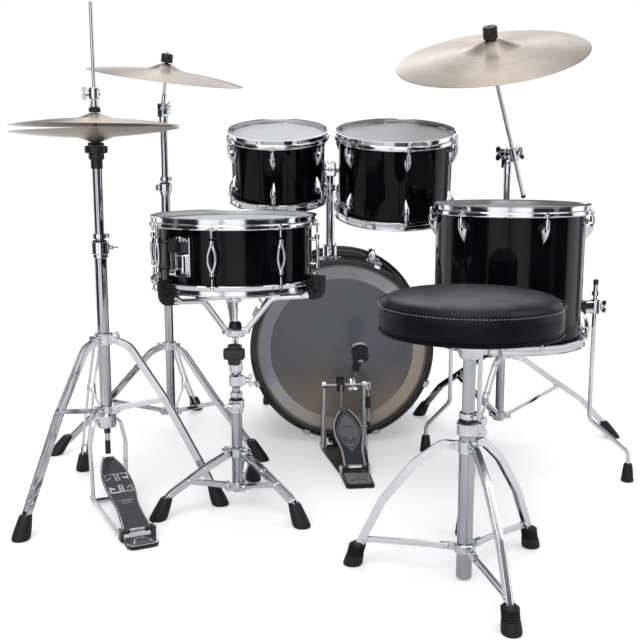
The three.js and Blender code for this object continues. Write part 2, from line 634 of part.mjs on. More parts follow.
function addThrone() {
  const base = groupAt([0, 0]);
  const [legRadius, legHeight] = THRONE.leg;
  const turns = [0, 120, 240].map((turn) => radians(THRONE.firstLeg + turn));
  const leaf = block([legRadius - 12, 6, 18], [(legRadius + 18) / 2 + 2, 0, 0]);
  const leavesAt = (z) => turns.map((turn) => leaf.clone().rotateZ(turn).translate(0, 0, z));
  const tube = join(
    rodUp(THRONE.tube, THRONE.bottom, THRONE.top), rodUp(20, legHeight - 11, legHeight + 11),
    rodUp(21, THRONE.top - 30, THRONE.top), ...leavesAt(legHeight),
  );
  piece("throne_base_tube", cut(tube, rodUp(THRONE.post + GAP, -10, THRONE.top + 10)), CHROME, base);
  const collar = ring(THRONE.tube + GAP, 21, THRONE.bracket - 9, THRONE.bracket + 9);
  piece("throne_brace_collar", join(collar, ...leavesAt(THRONE.bracket)), CHROME, base);
  turns.forEach((turn, i) => {
    const name = ["front", "right", "left"][i];
    piece("throne_leg_" + name, throneLeg().rotateZ(turn), SATIN, base);
    piece("throne_brace_" + name, throneBrace().rotateZ(turn), SATIN, base);
  });
  const hub = rodUp(SEAT_POST.hub, SEAT_POST.top - 30, SEAT_POST.top - 4);
  piece("throne_seat_post", join(rodUp(THRONE.post, SEAT_POST.bottom, SEAT_POST.top), hub), CHROME, base);
  const plateBelow = rodUp(60, SEAT_POST.top + TOUCH, SEAT.bottom + 4);
  piece("throne_seat", join(cushion(), plateBelow), VINYL, base);
}

// ---------------------------------------------------------------- kick pedal

// The base plate, which narrows from the posts to the heel.
function kickPlate() {
  const [wide, narrow] = [KICK.width / 2 + 7, KICK.plate / 2];
  const outline = new THREE.Shape();
  outline.moveTo(-narrow, KICK.heel);
  outline.lineTo(narrow, KICK.heel);
  outline.lineTo(wide, KICK.at[1] - 24);
  outline.lineTo(wide, KICK.at[1] + 20);
  outline.lineTo(-wide, KICK.at[1] + 20);
  outline.lineTo(-wide, KICK.at[1] - 24);
  return new THREE.ExtrudeGeometry(outline, { depth: 5, bevelEnabled: false }).translate(0, 0, 0.5);
}

function addKickPedal() {
  const toe = KICK.at[1];
  const pedal = groupAt(KICK.at);
  pedal.rotation.z = radians(KICK.turn);
  const group = new THREE.Group();
  group.position.y = -toe;
  pedal.add(group);
  const half = KICK.width / 2;
  const hoopFront = BASS.at[1];
  const frame = [
    kickPlate(),
    block([KICK.plate, hoopFront - toe, 5], [0, (hoopFront + toe) / 2, 3]),
    block([KICK.plate, KICK.hinge - KICK.heel - 14, 8], [0, (KICK.heel + KICK.hinge) / 2 - 7, 9]),
    block([KICK.plate, 40, 4.5], [0, hoopFront + 8, 3]),
    ...[-1, 1].map((side) => block([7, 20, 26], [side * 37, KICK.hinge, 16])),
    ...[-1, 1].map((side) => block([11, 24, KICK.axle + 2], [side * half, toe, (KICK.axle + 12) / 2])),
  ];
  const bore = rodBetween([-80, toe, KICK.axle], [80, toe, KICK.axle], AXLE + GAP);
  piece("kick_frame", cut(join(...frame), bore), SATIN, group);
  const board = footboard(KICK.hinge, KICK_BOARD.hingeHeight, KICK_BOARD.toe, KICK_BOARD.width, 62);
  piece("kick_footboard", board, CHARCOAL, group);
  const lean = radians(BEATER.lean);
  const shaft = join(
    rodUp(4, 0, BEATER.reach), rodUp(9, 10, 26, 10),
    rodBetween([0, -26, BEATER.reach], [0, 24, BEATER.reach], BEATER.head, 14),
  ).rotateX(lean).translate(BEATER.offset, 0, 0);
  const axle = join(
    rodBetween([-half - 4, 0, 0], [half + 4, 0, 0], AXLE), rodBetween([-22, 0, 0], [2, 0, 0], 22, 14),
    rodBetween([BEATER.offset - 10, 0, 0], [BEATER.offset + 10, 0, 0], 12, 12),
  );
  piece("kick_beater", join(axle, shaft).translate(0, toe, KICK.axle), CHROME, group);
}

// ---------------------------------------------------------------- the kit

addBassDrum();
addSpur("bass_spur_left", -1);
addSpur("bass_spur_right", 1);
addTomHolder();
addDrum("small_tom", SMALL_TOM, tomShell(SMALL_TOM, SMALL_BRACKET));
addDrum("large_tom", LARGE_TOM, tomShell(LARGE_TOM, LARGE_BRACKET));
addDrum("floor_tom", FLOOR_TOM, floorTomShell());
["right", "back", "front"].forEach((side, i) => addFloorLeg("floor_tom_leg_" + side, FLOOR_LEG.angles[i]));
addDrum("snare", SNARE, snareShell());
addThrowOffLever();
addSnareStand();
addCrash();
addRide();
addHiHat();
addThrone();
addKickPedal();

const box = new THREE.Box3().setFromObject(kit, true);
const middle = box.getCenter(new THREE.Vector3());
kit.position.set(-middle.x, -middle.y, -box.min.z);

export default kit;
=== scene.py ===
"""The looks of an acoustic drum kit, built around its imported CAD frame.

Sizes are in millimetres until a piece is made. The layout is written with the throne's post at (0, 0),
+X to the drummer's right and +Y towards the bass drum, as the CAD is, and KIT places it in the frame.
"""
import math
import random

import bmesh
import bpy
from mathutils import Matrix, Vector


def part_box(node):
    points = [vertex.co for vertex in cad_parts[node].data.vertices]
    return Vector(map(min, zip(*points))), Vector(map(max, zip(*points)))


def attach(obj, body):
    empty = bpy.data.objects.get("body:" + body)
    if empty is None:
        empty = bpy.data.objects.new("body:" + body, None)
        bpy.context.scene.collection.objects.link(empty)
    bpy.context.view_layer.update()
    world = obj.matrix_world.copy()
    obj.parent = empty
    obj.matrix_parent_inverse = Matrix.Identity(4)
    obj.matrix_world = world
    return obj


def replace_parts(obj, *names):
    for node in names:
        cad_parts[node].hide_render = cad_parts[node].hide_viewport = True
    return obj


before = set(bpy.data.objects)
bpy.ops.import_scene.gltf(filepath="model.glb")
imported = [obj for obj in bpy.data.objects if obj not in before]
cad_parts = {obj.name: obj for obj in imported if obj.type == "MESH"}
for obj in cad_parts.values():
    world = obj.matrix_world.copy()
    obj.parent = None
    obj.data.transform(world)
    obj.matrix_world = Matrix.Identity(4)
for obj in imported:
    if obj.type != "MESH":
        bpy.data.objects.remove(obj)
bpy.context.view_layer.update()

MM = 0.001
INCH = 25.4
TURN = 2 * math.pi
X, Y, Z = Vector((1, 0, 0)), Vector((0, 1, 0)), Vector((0, 0, 1))


def centre_of(node):
    low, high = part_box(node)
    return (low + high) / 2


POST = centre_of("throne_seat_post")
KIT = Matrix.Translation((POST.x / MM, POST.y / MM, 0))


def move(x=0, y=0, z=0):
    return Matrix.Translation((x, y, z))


def spin(degrees, axis="Z"):
    return Matrix.Rotation(math.radians(degrees), 4, axis)


def polar(radius, degrees):
    angle = math.radians(degrees)
    return radius * math.cos(angle), radius * math.sin(angle)


# ---------------------------------------------------------------- materials


class Nodes:
    """A material's node tree, with short calls for the nodes used here."""

    def __init__(self, name):
        self.material = bpy.data.materials.new(name)
        self.material.use_nodes = True
        self.tree = self.material.node_tree
        self.shader = self.tree.nodes["Principled BSDF"]

    def new(self, kind, **settings):
        node = self.tree.nodes.new(kind)
        for key, value in settings.items():
            setattr(node, key, value)
        return node

    def join(self, source, target):
        self.tree.links.new(source, target)

    def place(self, scale=(1, 1, 1)):
        """Object coordinates, stretched by scale."""
        where = self.new("ShaderNodeTexCoord").outputs["Object"]
        mapping = self.new("ShaderNodeMapping")
        mapping.inputs["Scale"].default_value = scale
        self.join(where, mapping.inputs["Vector"])
        return mapping.outputs["Vector"]

    def noise(self, scale, detail=3, stretch=(1, 1, 1), vector=None):
        node = self.new("ShaderNodeTexNoise")
        node.inputs["Scale"].default_value = scale
        node.inputs["Detail"].default_value = detail
        self.join(vector or self.place(stretch), node.inputs["Vector"])
        return node.outputs["Fac"]

    def ramp(self, value, *stops):
        node = self.new("ShaderNodeValToRGB")
        elements = node.color_ramp.elements
        while len(elements) < len(stops):
            elements.new(0.5)
        for element, (at, colour) in zip(elements, stops):
            element.position = at
            element.color = (*colour, 1) if isinstance(colour, tuple) else (colour,) * 3 + (1,)
        self.join(value, node.inputs["Fac"])
        return node.outputs["Color"]

    def span(self, value, low, high, start=0.0, end=1.0):
        """value from start..end becomes low..high."""
        node = self.new("ShaderNodeMapRange")
        for key, number in {"From Min": start, "From Max": end, "To Min": low, "To Max": high}.items():
            node.inputs[key].default_value = number
        self.join(value, node.inputs["Value"])
        return node.outputs["Result"]

    def math(self, operation, a, b=None):
        node = self.new("ShaderNodeMath", operation=operation)
        for socket, value in zip(node.inputs, (a, b)):
            if isinstance(value, (int, float)):
                socket.default_value = value
            elif value is not None:
                self.join(value, socket)
        return node.outputs["Value"]

    def radius(self):
        """Distance from the piece's own axis, in metres."""
        parts = self.new("ShaderNodeSeparateXYZ")
        self.join(self.place(), parts.inputs["Vector"])
        x, y = parts.outputs["X"], parts.outputs["Y"]
        return self.math("SQRT", self.math("ADD", self.math("MULTIPLY", x, x), self.math("MULTIPLY", y, y)))

    def bump(self, height, strength, distance=0.0005):
        node = self.new("ShaderNodeBump")
        node.inputs["Strength"].default_value = strength
        node.inputs["Distance"].default_value = distance
        self.join(height, node.inputs["Height"])
        self.join(node.outputs["Normal"], self.shader.inputs["Normal"])

    def set(self, **values):
        for key, value in values.items():
            socket = self.shader.inputs[key.replace("_", " ")]
            if isinstance(value, (int, float)):
                socket.default_value = value
            elif isinstance(value, tuple):
                socket.default_value = (*value, 1)
            else:
                self.join(value, socket)
        return self


def metal(name, colour, dark, low, high, grain=(1, 1, 1), scale=160, bump=0.03):
    """A metal with slight tarnish in its colour and fine variation in its gloss."""
    n = Nodes(name)
    n.set(Metallic=1.0, Base_Color=n.ramp(n.noise(9, 4), (0.3, dark), (0.72, colour)))
    fine = n.noise(scale, 4, grain)
    n.set(Roughness=n.span(fine, low, high, 0.3, 0.7))
    n.bump(fine, bump)
    return n.material


def plastic(name, colour, light, roughness, scale, bump, coat=0.0, spread=0.08, shine=0.5):
    """A non-metal with mottled colour, varied gloss and a fine grain."""
    n = Nodes(name)
    n.set(Base_Color=n.ramp(n.noise(14, 4), (0.35, colour), (0.75, light)))
    fine = n.noise(scale, 3)
    n.set(Roughness=n.span(fine, roughness - spread / 2, roughness + spread / 2, 0.3, 0.7))
    n.set(Coat_Weight=coat, Coat_Roughness=0.03, Specular_IOR_Level=shine)
    n.bump(fine, bump)
    return n.material


def head_film(name, colour, shade, roughness, coated):
    """A drum head: a sprayed coating or a smooth film, with painted shading in its middle: the shade tone there blends
    unevenly into the film's own colour towards the rim.
    """
    n = Nodes(name)
    # Painted shading: the middle of the head takes the shade tone, blending unevenly into the film's own colour towards
    # the rim.
    middle_shading = n.math("ADD", n.span(n.radius(), 0.0, 0.22, 0.0, 0.16), n.span(n.noise(22, 5), -0.13, 0.13))
    n.set(Base_Color=n.ramp(middle_shading, (0.0, shade), (0.16, colour)), Roughness=roughness)
    n.set(Subsurface_Weight=0.04)
    n.bump(n.noise(900 if coated else 60, 2), 0.35 if coated else 0.02)
    return n.material


def batter_film():
    """The bass drum's smoky film: grey clouds above, uneven gloss, and painted light towards its foot, where the film
    turns lighter and warmer.
    """
    n = Nodes("smoky_film")
    parts = n.new("ShaderNodeSeparateXYZ")
    n.join(n.place(), parts.inputs["Vector"])
    clouds = n.noise(6, 2)
    height = n.math("ADD", n.span(parts.outputs["Z"], 0.0, 1.0, 0.254, -0.254), n.span(clouds, -0.22, 0.22))
    # Painted light: the film runs from dark blue-grey at the top to a lighter, warm brown at its foot; the clouds break
    # up where the tones change.
    warm = n.ramp(height, (0.2, (0.11, 0.115, 0.13)), (0.5, (0.12, 0.125, 0.145)), (0.68, (0.15, 0.14, 0.135)),
                  (0.92, (0.28, 0.235, 0.19)))
    n.set(Base_Color=warm, Roughness=n.span(clouds, 0.2, 0.38, 0.3, 0.7), Coat_Weight=0.35, Coat_Roughness=0.08)
    n.bump(n.noise(40, 4), 0.03)
    return n.material


def ring_film():
    """The muffling ring under the bass drum's film, with painted light across it: darker and bluer at its upper left,
    lighter in its middle and warm brown towards its lower right.
    """
    n = Nodes("ring_film")
    parts = n.new("ShaderNodeSeparateXYZ")
    n.join(n.place(), parts.inputs["Vector"])
    across = n.math("SUBTRACT", parts.outputs["X"], parts.outputs["Z"])
    # Painted light: the ring's tone runs across it from a darker blue-grey at the upper left to warm brown at the lower
    # right.
    side = n.math("ADD", n.span(across, 0.0, 1.0, -0.32, 0.32), n.span(n.noise(9, 2), -0.15, 0.15))
    n.set(Base_Color=n.ramp(side, (0.2, (0.34, 0.345, 0.38)), (0.4, (0.56, 0.56, 0.59)), (0.62, (0.56, 0.53, 0.49)), (0.9, (0.5, 0.43, 0.35))))
    n.set(Roughness=0.34)
    n.bump(n.noise(50, 3), 0.03)
    return n.material


def bronze():
    """Cast bronze: fine lathed grooves and warm hammer shading."""
    n = Nodes("cymbal_bronze")
    radius = n.new("ShaderNodeAttribute", attribute_name="radius").outputs["Fac"]
    line = n.new("ShaderNodeCombineXYZ")
    n.join(radius, line.inputs["X"])
    grooves = n.noise(1500, 2, vector=line.outputs["Vector"])
    bands = n.noise(70, 3, vector=line.outputs["Vector"])
    tone = n.math("ADD", n.span(bands, 0.1, 0.5), n.span(n.noise(14, 3), 0.0, 0.4))
    n.set(Metallic=1.0, Base_Color=n.ramp(tone, (0.3, (0.32, 0.27, 0.22)), (0.55, (0.42, 0.365, 0.31)), (0.8, (0.5, 0.45, 0.4))))
    n.set(Roughness=n.span(grooves, 0.3, 0.38, 0.3, 0.7), Anisotropic=0.9, Anisotropic_Rotation=0.25)
    tangent = n.new("ShaderNodeTangent", direction_type="RADIAL", axis="Z")
    n.join(tangent.outputs["Tangent"], n.shader.inputs["Tangent"])
    n.bump(grooves, 0.08, 0.0004)
    return n.material


def vinyl():
    """Black vinyl with a fine pebbled grain, and painted shade on its side, which reflects less than the top."""
    n = Nodes("seat_vinyl")
    cells = n.new("ShaderNodeTexVoronoi", feature="SMOOTH_F1")
    cells.inputs["Scale"].default_value = 420
    n.join(n.place(), cells.inputs["Vector"])
    n.set(Base_Color=n.ramp(n.noise(10, 4), (0.3, (0.0055, 0.0055, 0.0072)), (0.75, (0.013, 0.013, 0.0165))))
    parts = n.new("ShaderNodeSeparateXYZ")
    n.join(n.place(), parts.inputs["Vector"])
    # Painted shade: below the top's edge the side gets a much lower specular level than the top, so it looks darker.
    side = 0.54, 0.562
    n.set(Roughness=n.span(n.noise(30, 3), 0.28, 0.4, 0.3, 0.7), Specular_IOR_Level=n.span(parts.outputs["Z"], 0.07, 0.25, *side))
    n.set(Specular_Tint=(0.82, 0.87, 1.0))
    n.bump(n.math("ADD", cells.outputs["Distance"], n.noise(60, 3)), 0.32, 0.0003)
    return n.material


LOOKS = {
    "chrome": metal("chrome", (0.76, 0.77, 0.79), (0.62, 0.63, 0.66), 0.04, 0.09),
    "steel": metal("polished_tube", (0.5, 0.51, 0.535), (0.4, 0.41, 0.435), 0.05, 0.11),
    "satin": metal("satin_steel", (0.84, 0.85, 0.87), (0.72, 0.73, 0.76), 0.12, 0.24, (1, 1, 6), 120, 0.03),
    "cast": metal("cast_alloy", (0.6, 0.61, 0.64), (0.42, 0.43, 0.46), 0.22, 0.4, scale=420, bump=0.18),
    "wrap": plastic("gloss_wrap", (0.002, 0.002, 0.0026), (0.0045, 0.0045, 0.0058), 0.06, 30, 0.012, spread=0.04, shine=0.16),
    "lacquer": plastic("black_lacquer", (0.004, 0.004, 0.005), (0.01, 0.01, 0.012), 0.16, 60, 0.02, coat=0.2),
    "rubber": plastic("rubber", (0.005, 0.005, 0.0055), (0.012, 0.012, 0.013), 0.55, 500, 0.25, spread=0.16, shine=0.4),
    "felt": plastic("felt", (0.012, 0.012, 0.014), (0.035, 0.035, 0.04), 0.92, 900, 0.8, spread=0.06),
    "white_felt": plastic("white_felt", (0.55, 0.54, 0.52), (0.75, 0.74, 0.72), 0.9, 900, 0.8, spread=0.06),
    "charcoal": plastic("charcoal_paint", (0.026, 0.027, 0.031), (0.05, 0.052, 0.058), 0.42, 320, 0.25, spread=0.14),
    "pewter": plastic("pewter_paint", (0.19, 0.192, 0.2), (0.27, 0.273, 0.28), 0.42, 320, 0.2, spread=0.14),
    "silver": plastic("silver_paint", (0.44, 0.445, 0.45), (0.58, 0.585, 0.59), 0.36, 200, 0.06, spread=0.1),
    "nylon": plastic("black_nylon", (0.008, 0.008, 0.009), (0.02, 0.02, 0.022), 0.4, 200, 0.1, spread=0.12),
    "wood": plastic("hoop_ply", (0.2, 0.13, 0.065), (0.36, 0.25, 0.14), 0.45, 90, 0.12),
    "thread": plastic("thread", (0.5, 0.5, 0.5), (0.7, 0.7, 0.7), 0.75, 900, 0.5),
    "coated": head_film("coated_film", (0.62, 0.63, 0.65), (0.54, 0.55, 0.57), 0.55, True),
    "white_film": head_film("white_film", (0.52, 0.52, 0.53), (0.46, 0.46, 0.475), 0.45, True),
    "grey_film": head_film("pale_film", (0.28, 0.28, 0.285), (0.235, 0.235, 0.245), 0.4, False),
    "front_film": head_film("front_film", (0.03, 0.03, 0.033), (0.05, 0.05, 0.055), 0.2, False),
    "smoky": batter_film(),
    "ring": ring_film(),
    "bronze": bronze(),
    "vinyl": vinyl(),
}
SLOTS = {
    "chrome": "chrome", "steel": "chrome", "satin": "satin_steel", "cast": "chrome", "wrap": "black_wrap", "lacquer": "black_hoop",
    "rubber": "charcoal_metal", "felt": "charcoal_metal", "white_felt": "coated_head", "charcoal": "charcoal_metal",
    "pewter": "charcoal_metal", "silver": "chrome", "nylon": "charcoal_metal", "wood": "black_hoop", "thread": "black_vinyl", "coated": "coated_head",
    "grey_film": "smooth_head", "white_film": "coated_head", "front_film": "front_head", "smoky": "clear_head", "ring": "clear_head",
    "bronze": "bronze", "vinyl": "black_vinyl",
}

# ---------------------------------------------------------------- forms


def filleted(points, radius):
    """The path with each corner turned into an arc."""
    points = [Vector(p) for p in points]
    out = [points[0]]
    for before, corner, after in zip(points, points[1:], points[2:]):
        a, b = (before - corner), (after - corner)
        angle = a.angle(b)
        if radius <= 0 or angle > math.pi - 0.02:
            out.append(corner)
            continue
        reach = min(radius / math.tan(angle / 2), a.length * 0.48, b.length * 0.48)
        start, end = corner + a.normalized() * reach, corner + b.normalized() * reach
        steps = max(3, int((math.pi - angle) / 0.2))
        for i in range(steps + 1):
            t = i / steps
            out.append(start * (1 - t) ** 2 + corner * 2 * t * (1 - t) + end * t**2)
    out.append(points[-1])
    return out


def circle(radius, sides=20):
    return [(radius * math.cos(TURN * i / sides), radius * math.sin(TURN * i / sides)) for i in range(sides)]


def flat(width, thickness, corner=1.0):
    """A rectangle with rounded corners, as a section: width across, thickness along the side vector."""
    c = min(corner, thickness * 0.45, width * 0.45)
    out = []
    for sx, sy, start in ((1, 1, 0), (-1, 1, 90), (-1, -1, 180), (1, -1, 270)):
        for step in (0, 45, 90):
            x, y = polar(c, start + step)
            out.append((sx * (thickness / 2 - c) + x, sy * (width / 2 - c) + y))
    return out


def offset_strip(path, thickness):
    """A closed outline around an open path, thickness across."""
    left, right = [], []
    for i, (x, y) in enumerate(path):
        bx, by = path[max(i - 1, 0)]
        ax, ay = path[min(i + 1, len(path) - 1)]
        along = Vector((ax - bx, ay - by)).normalized() * thickness / 2
        left.append((x - along.y, y + along.x))
        right.append((x + along.y, y - along.x))
    loop = left + right[::-1]
    return loop + [loop[0]]


class Form:
    """The vertices and faces of one piece, in millimetres, in its group's frame."""

    def __init__(self):
        self.verts, self.faces = [], []

    def take(self, verts, faces, at=None):
        first = len(self.verts)
        self.verts += [at @ Vector(v) if at else Vector(v) for v in verts]
        self.faces += [[first + i for i in f] for f in faces]
        return self

    def lathe(self, profile, sides=64, at=None):
        """A profile of (radius, height) points turned about Z."""
        verts, faces, rows = [], [], []
        closed = profile[0] == profile[-1]
        for radius, height in profile[:-1] if closed else profile:
            if radius < 1e-6:
                rows.append([len(verts)] * sides)
                verts.append((0, 0, height))
            else:
                rows.append(list(range(len(verts), len(verts) + sides)))
                verts += [(*polar(radius, 360 * i / sides), height) for i in range(sides)]
        if closed:
            rows.append(rows[0])
        for low, high in zip(rows, rows[1:]):
            for i in range(sides):
                j = (i + 1) % sides
                face = list(dict.fromkeys([low[i], low[j], high[j], high[i]]))
                if len(face) > 2:
                    faces.append(face)
        return self.take(verts, faces, at)

    def sweep(self, path, section, side=Y, at=None, taper=None):
        """A section carried along a path. side is the section's first axis at the start."""
        path = [Vector(p) for p in path]
        tangents = [(b - a).normalized() for a, b in zip(path, path[1:])]
        ways = [tangents[0]] + [(a + b).normalized() for a, b in zip(tangents, tangents[1:])] + [tangents[-1]]
        u = (side - ways[0] * side.dot(ways[0])).normalized()
        verts, n = [], len(section)
        for k, (point, way) in enumerate(zip(path, ways)):
            if k:
                u = ways[k - 1].rotation_difference(way) @ u
            v = way.cross(u)
            bend = tangents[min(k, len(tangents) - 1)].dot(way)
            size = taper(k / (len(path) - 1)) if taper else 1
            verts += [point + (u * a + v * b / max(bend, 0.5)) * size for a, b in section]
        faces = [[k * n + i, k * n + (i + 1) % n, (k + 1) * n + (i + 1) % n, (k + 1) * n + i]
                 for k in range(len(path) - 1) for i in range(n)]
        faces += [list(range(n))[::-1], [(len(path) - 1) * n + i for i in range(n)]]
        return self.take(verts, faces, at)

    def rod(self, start, end, radius, sides=20, chamfer=0.8, at=None):
        start, end = Vector(start), Vector(end)
        length = (end - start).length
        c = min(chamfer, radius * 0.5, length * 0.3)
        turn = Z.rotation_difference(end - start).to_matrix().to_4x4()
        place = Matrix.Translation(start) @ turn
        profile = [(0, 0), (radius - c, 0), (radius, c), (radius, length - c), (radius - c, length), (0, length)]
        return self.lathe(profile, sides, at @ place if at else place)

    def tube(self, inner, outer, low, high, sides=40, edge=0.8, at=None):
        e = min(edge, (outer - inner) * 0.4)
        return self.lathe([(inner, low), (outer - e, low), (outer, low + e), (outer, high - e), (outer - e, high),
                           (inner, high), (inner, low)], sides, at)

    def bent(self, points, radius, bend=20, sides=16, at=None, side=Y):
        return self.sweep(filleted(points, bend), circle(radius, sides), side, at)

    def bar(self, path, width, thickness, aside=0, bend=30, at=None, corner=1.0):
        """A flat bar on edge in the plane of radius (X) and height (Z)."""
        points = [(r, -aside, z) for r, z in path]
        return self.sweep(filleted(points, bend), flat(width, thickness, corner), Y, at)

    def box(self, size, middle=(0, 0, 0), corner=1.2, at=None, steps=2):
        mesh = bmesh.new()
        bmesh.ops.create_cube(mesh, size=1)
        for v in mesh.verts:
            v.co = Vector([c * s for c, s in zip(v.co, size)]) + Vector(middle)
        width = min(corner, min(size) * 0.4)
        bmesh.ops.bevel(mesh, geom=mesh.edges[:], offset=width, segments=steps, affect="EDGES", profile=0.6)
        mesh.verts.index_update()
        self.take([v.co.copy() for v in mesh.verts], [[v.index for v in f.verts] for f in mesh.faces], at)
        mesh.free()
        return self

    def slab(self, outline, thickness, corner=0.8, at=None):
        """A flat outline of (x, y) points, thickness high in Z from 0, with rounded edges."""
        mesh = bmesh.new()
        face = mesh.faces.new([mesh.verts.new((x, y, 0)) for x, y in outline])
        top = bmesh.ops.extrude_face_region(mesh, geom=[face])["geom"]
        for v in top:
            if isinstance(v, bmesh.types.BMVert):
                v.co.z = thickness
        rims = [e for e in mesh.edges if abs(e.verts[0].co.z - e.verts[1].co.z) < 1e-6]
        bmesh.ops.bevel(mesh, geom=rims, offset=min(corner, thickness * 0.4), segments=2, affect="EDGES", profile=0.6)
        mesh.verts.index_update()
        self.take([v.co.copy() for v in mesh.verts], [[v.index for v in f.verts] for f in mesh.faces], at)
        mesh.free()
        return self

    def loft(self, rings, at=None):
        """Rings of equally many points, joined in turn, with both ends closed."""
        n = len(rings[0])
        faces = [[k * n + i, k * n + (i + 1) % n, (k + 1) * n + (i + 1) % n, (k + 1) * n + i]
                 for k in range(len(rings) - 1) for i in range(n)]
        faces += [list(range(n)), [(len(rings) - 1) * n + i for i in range(n)]]
        return self.take([p for ring in rings for p in ring], faces, at)

    def wing_bolt(self, at, size=1.0, shaft=12):
        """A wing bolt whose shaft enters along -Z of at."""
        self.rod((0, 0, -shaft), (0, 0, 4 * size), 3 * size, 14, at=at)
        self.lathe([(0, 2), (6 * size, 2), (5.4 * size, 8 * size), (3.6 * size, 10 * size), (0, 10 * size)], 20, at)
        outline = []
        for i in range(36):
            t = TURN * i / 36
            reach = 4.5 + 11 * math.cos(t) ** 2
            outline.append((reach * math.cos(t) * size, (reach * math.sin(t) * 0.9 + 3.5 * abs(math.cos(t))) * size))
        lying = at @ move(0, 1.7 * size, 8 * size) @ spin(90, "X")
        return self.slab(outline, 3.4 * size, 1.2, lying)

    def bolt(self, at, radius=4, height=3):
        """A domed bolt head on the plane Z = 0 of at."""
        return self.lathe([(0, -2), (radius, -2), (radius, height * 0.5), (radius * 0.8, height * 0.85), (radius * 0.4, height),
                           (0, height)], 16, at)


class Parts(dict):
    """One form for each look that a piece has."""

    def __missing__(self, look):
        self[look] = Form()
        return self[look]


SOFT = 60  # a piece whose faces may meet at more than this is shaded as cloth


def build(name, parts, body, at=None, replaces=(), crisp=32):
    """Makes one object for each look. The first is called name and stands for the CAD nodes.
    A piece in bronze keeps the distance from its own axis in the attribute "radius", for its material."""
    made = []
    for look, form in parts.items():
        title = name if not made else name + "_" + look
        mesh = bpy.data.meshes.new(title)
        place = KIT @ (at or Matrix.Identity(4))
        turned = place.to_3x3()
        mesh.from_pydata([turned @ v * MM for v in form.verts], [], form.faces)
        if look == "bronze":
            radii = mesh.attributes.new("radius", "FLOAT", "POINT")
            radii.data.foreach_set("value", [math.hypot(v.x, v.y) * MM for v in form.verts])
        tidy = bmesh.new()
        tidy.from_mesh(mesh)
        bmesh.ops.recalc_face_normals(tidy, faces=tidy.faces)
        tidy.to_mesh(mesh)
        tidy.free()
        mesh.materials.append(LOOKS[look])
        mesh.shade_smooth()
        mesh.set_sharp_from_angle(angle=math.radians(crisp))
        thing = bpy.data.objects.new(title, mesh)
        bpy.context.scene.collection.objects.link(thing)
        thing.matrix_world = Matrix.Translation(place.translation * MM)
        if crisp < SOFT:
            even = thing.modifiers.new("even_faces", "WEIGHTED_NORMAL")
            even.keep_sharp = True
        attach(thing, body)
        SLOTS[look]
        made.append(thing)
    if replaces:
        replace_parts(made[0], *replaces)
    return made

# ---------------------------------------------------------------- drums
# A drum stands in its own frame: the batter hoop's rim at height 0 and the rest below it.

WALL = 6
ROD_REACH = 15  # how far outside the shell the tension rods run
STEEL_DROP, WOOD_DROP = 12, 17
SMALL_TOM = {"at": (-403, 838, 903), "radius": 5 * INCH, "total": 195, "lugs": 6, "first": -33, "tilt": 14.3}
LARGE_TOM = {"at": (-85, 805, 901), "radius": 6 * INCH, "total": 233, "lugs": 6, "first": -23, "tilt": 12.7}
FLOOR_TOM = {"at": (173, 529, 720), "radius": 7 * INCH, "total": 339, "lugs": 6, "first": -16, "tilt": 0}
SNARE = {"at": (-485, 386, 703), "radius": 7 * INCH, "total": 164, "lugs": 8, "first": -9, "tilt": 0}
BASS = {"at": (-225, 917, 276), "radius": 10 * INCH, "total": 392, "lugs": 8, "first": 22.5, "tilt": 90}


def frame_of(drum):
    return move(*drum["at"]) @ spin(drum["tilt"], "X")


def lug_angles(drum):
    return [drum["first"] + 360 / drum["lugs"] * i for i in range(drum["lugs"])]


def ends(drum):
    """The place of each end: as it is, and mirrored to the other end of the drum."""
    return [Matrix.Identity(4), move(0, 0, -drum["total"]) @ Matrix.Diagonal((1, 1, -1, 1))]


def steel_hoop(drum, end):
    """A triple-flanged hoop with an ear at each tension rod."""
    r = drum["radius"]
    path = [(r + 12, -0.9), (r + 9, -0.9), (r + 7.6, -2.4), (r + 7.6, -11.4), (r + 8.6, -12.8), (r + 10.6, -13.4), (r + 11.4, -14.8),
            (r + 11.4, -20.6), (r + 12, -21.8), (r + 13, -22.2)]
    form = Form().lathe(offset_strip(path, 1.8), 144, end)
    for angle in lug_angles(drum):
        outline = [(r + 10, -15), (r + 14, -13), (r + 18, -7.5), (r + 19.4, 0), (r + 18, 7.5), (r + 14, 13), (r + 10, 15)]
        form.slab(outline, 2.6, 0.7, end @ spin(angle) @ move(0, 0, -23.2))
    return form


def tension_rod(form, reach, top, bottom, at, washer=4.6):
    """A tension rod with its square head and washer."""
    form.rod((reach, 0, bottom), (reach, 0, top), 2.6, 12, at=at)
    form.lathe([(0, top - 1), (washer, top - 1), (washer, top + 0.8), (0, top + 0.8)], 16, at @ move(reach, 0, 0))
    form.lathe([(0, top), (4.2, top), (4.2, top + 3.4), (3, top + 4), (0, top + 4)], 16, at @ move(reach, 0, 0))
    form.box((4.6, 4.6, 6), (reach, 0, top + 6), 0.6, at)


def teardrop(form, radius, high, low, width, depth, rod, at):
    """A cast lug: full by its rod and drawn to a point along the shell."""
    rings, steps, around = [], 14, 20
    for k in range(steps + 1):
        s = k / steps
        swell = math.sin(math.pi * min(s / 0.56, 1) / 2) if s < 0.28 else math.cos(math.pi / 2 * ((s - 0.28) / 0.72)) ** 0.8
        swell = max(swell * (1 if s >= 0.28 else 1 / math.sin(math.pi / 4)), 0.05)
        ring = []
        for i in range(around):
            c, d = polar(1, 360 * i / around)
            ring.append((radius - 1 + max(c, -0.15) * depth * swell, d * width / 2 * swell, high + (low - high) * s))
        rings.append(ring)
    form.loft(rings, at)
    boss = radius + rod
    step = math.copysign(1, high - low)
    form.rod((boss, 0, high - 14 * step), (boss, 0, high + 2.5 * step), 6, 20, 1, at)


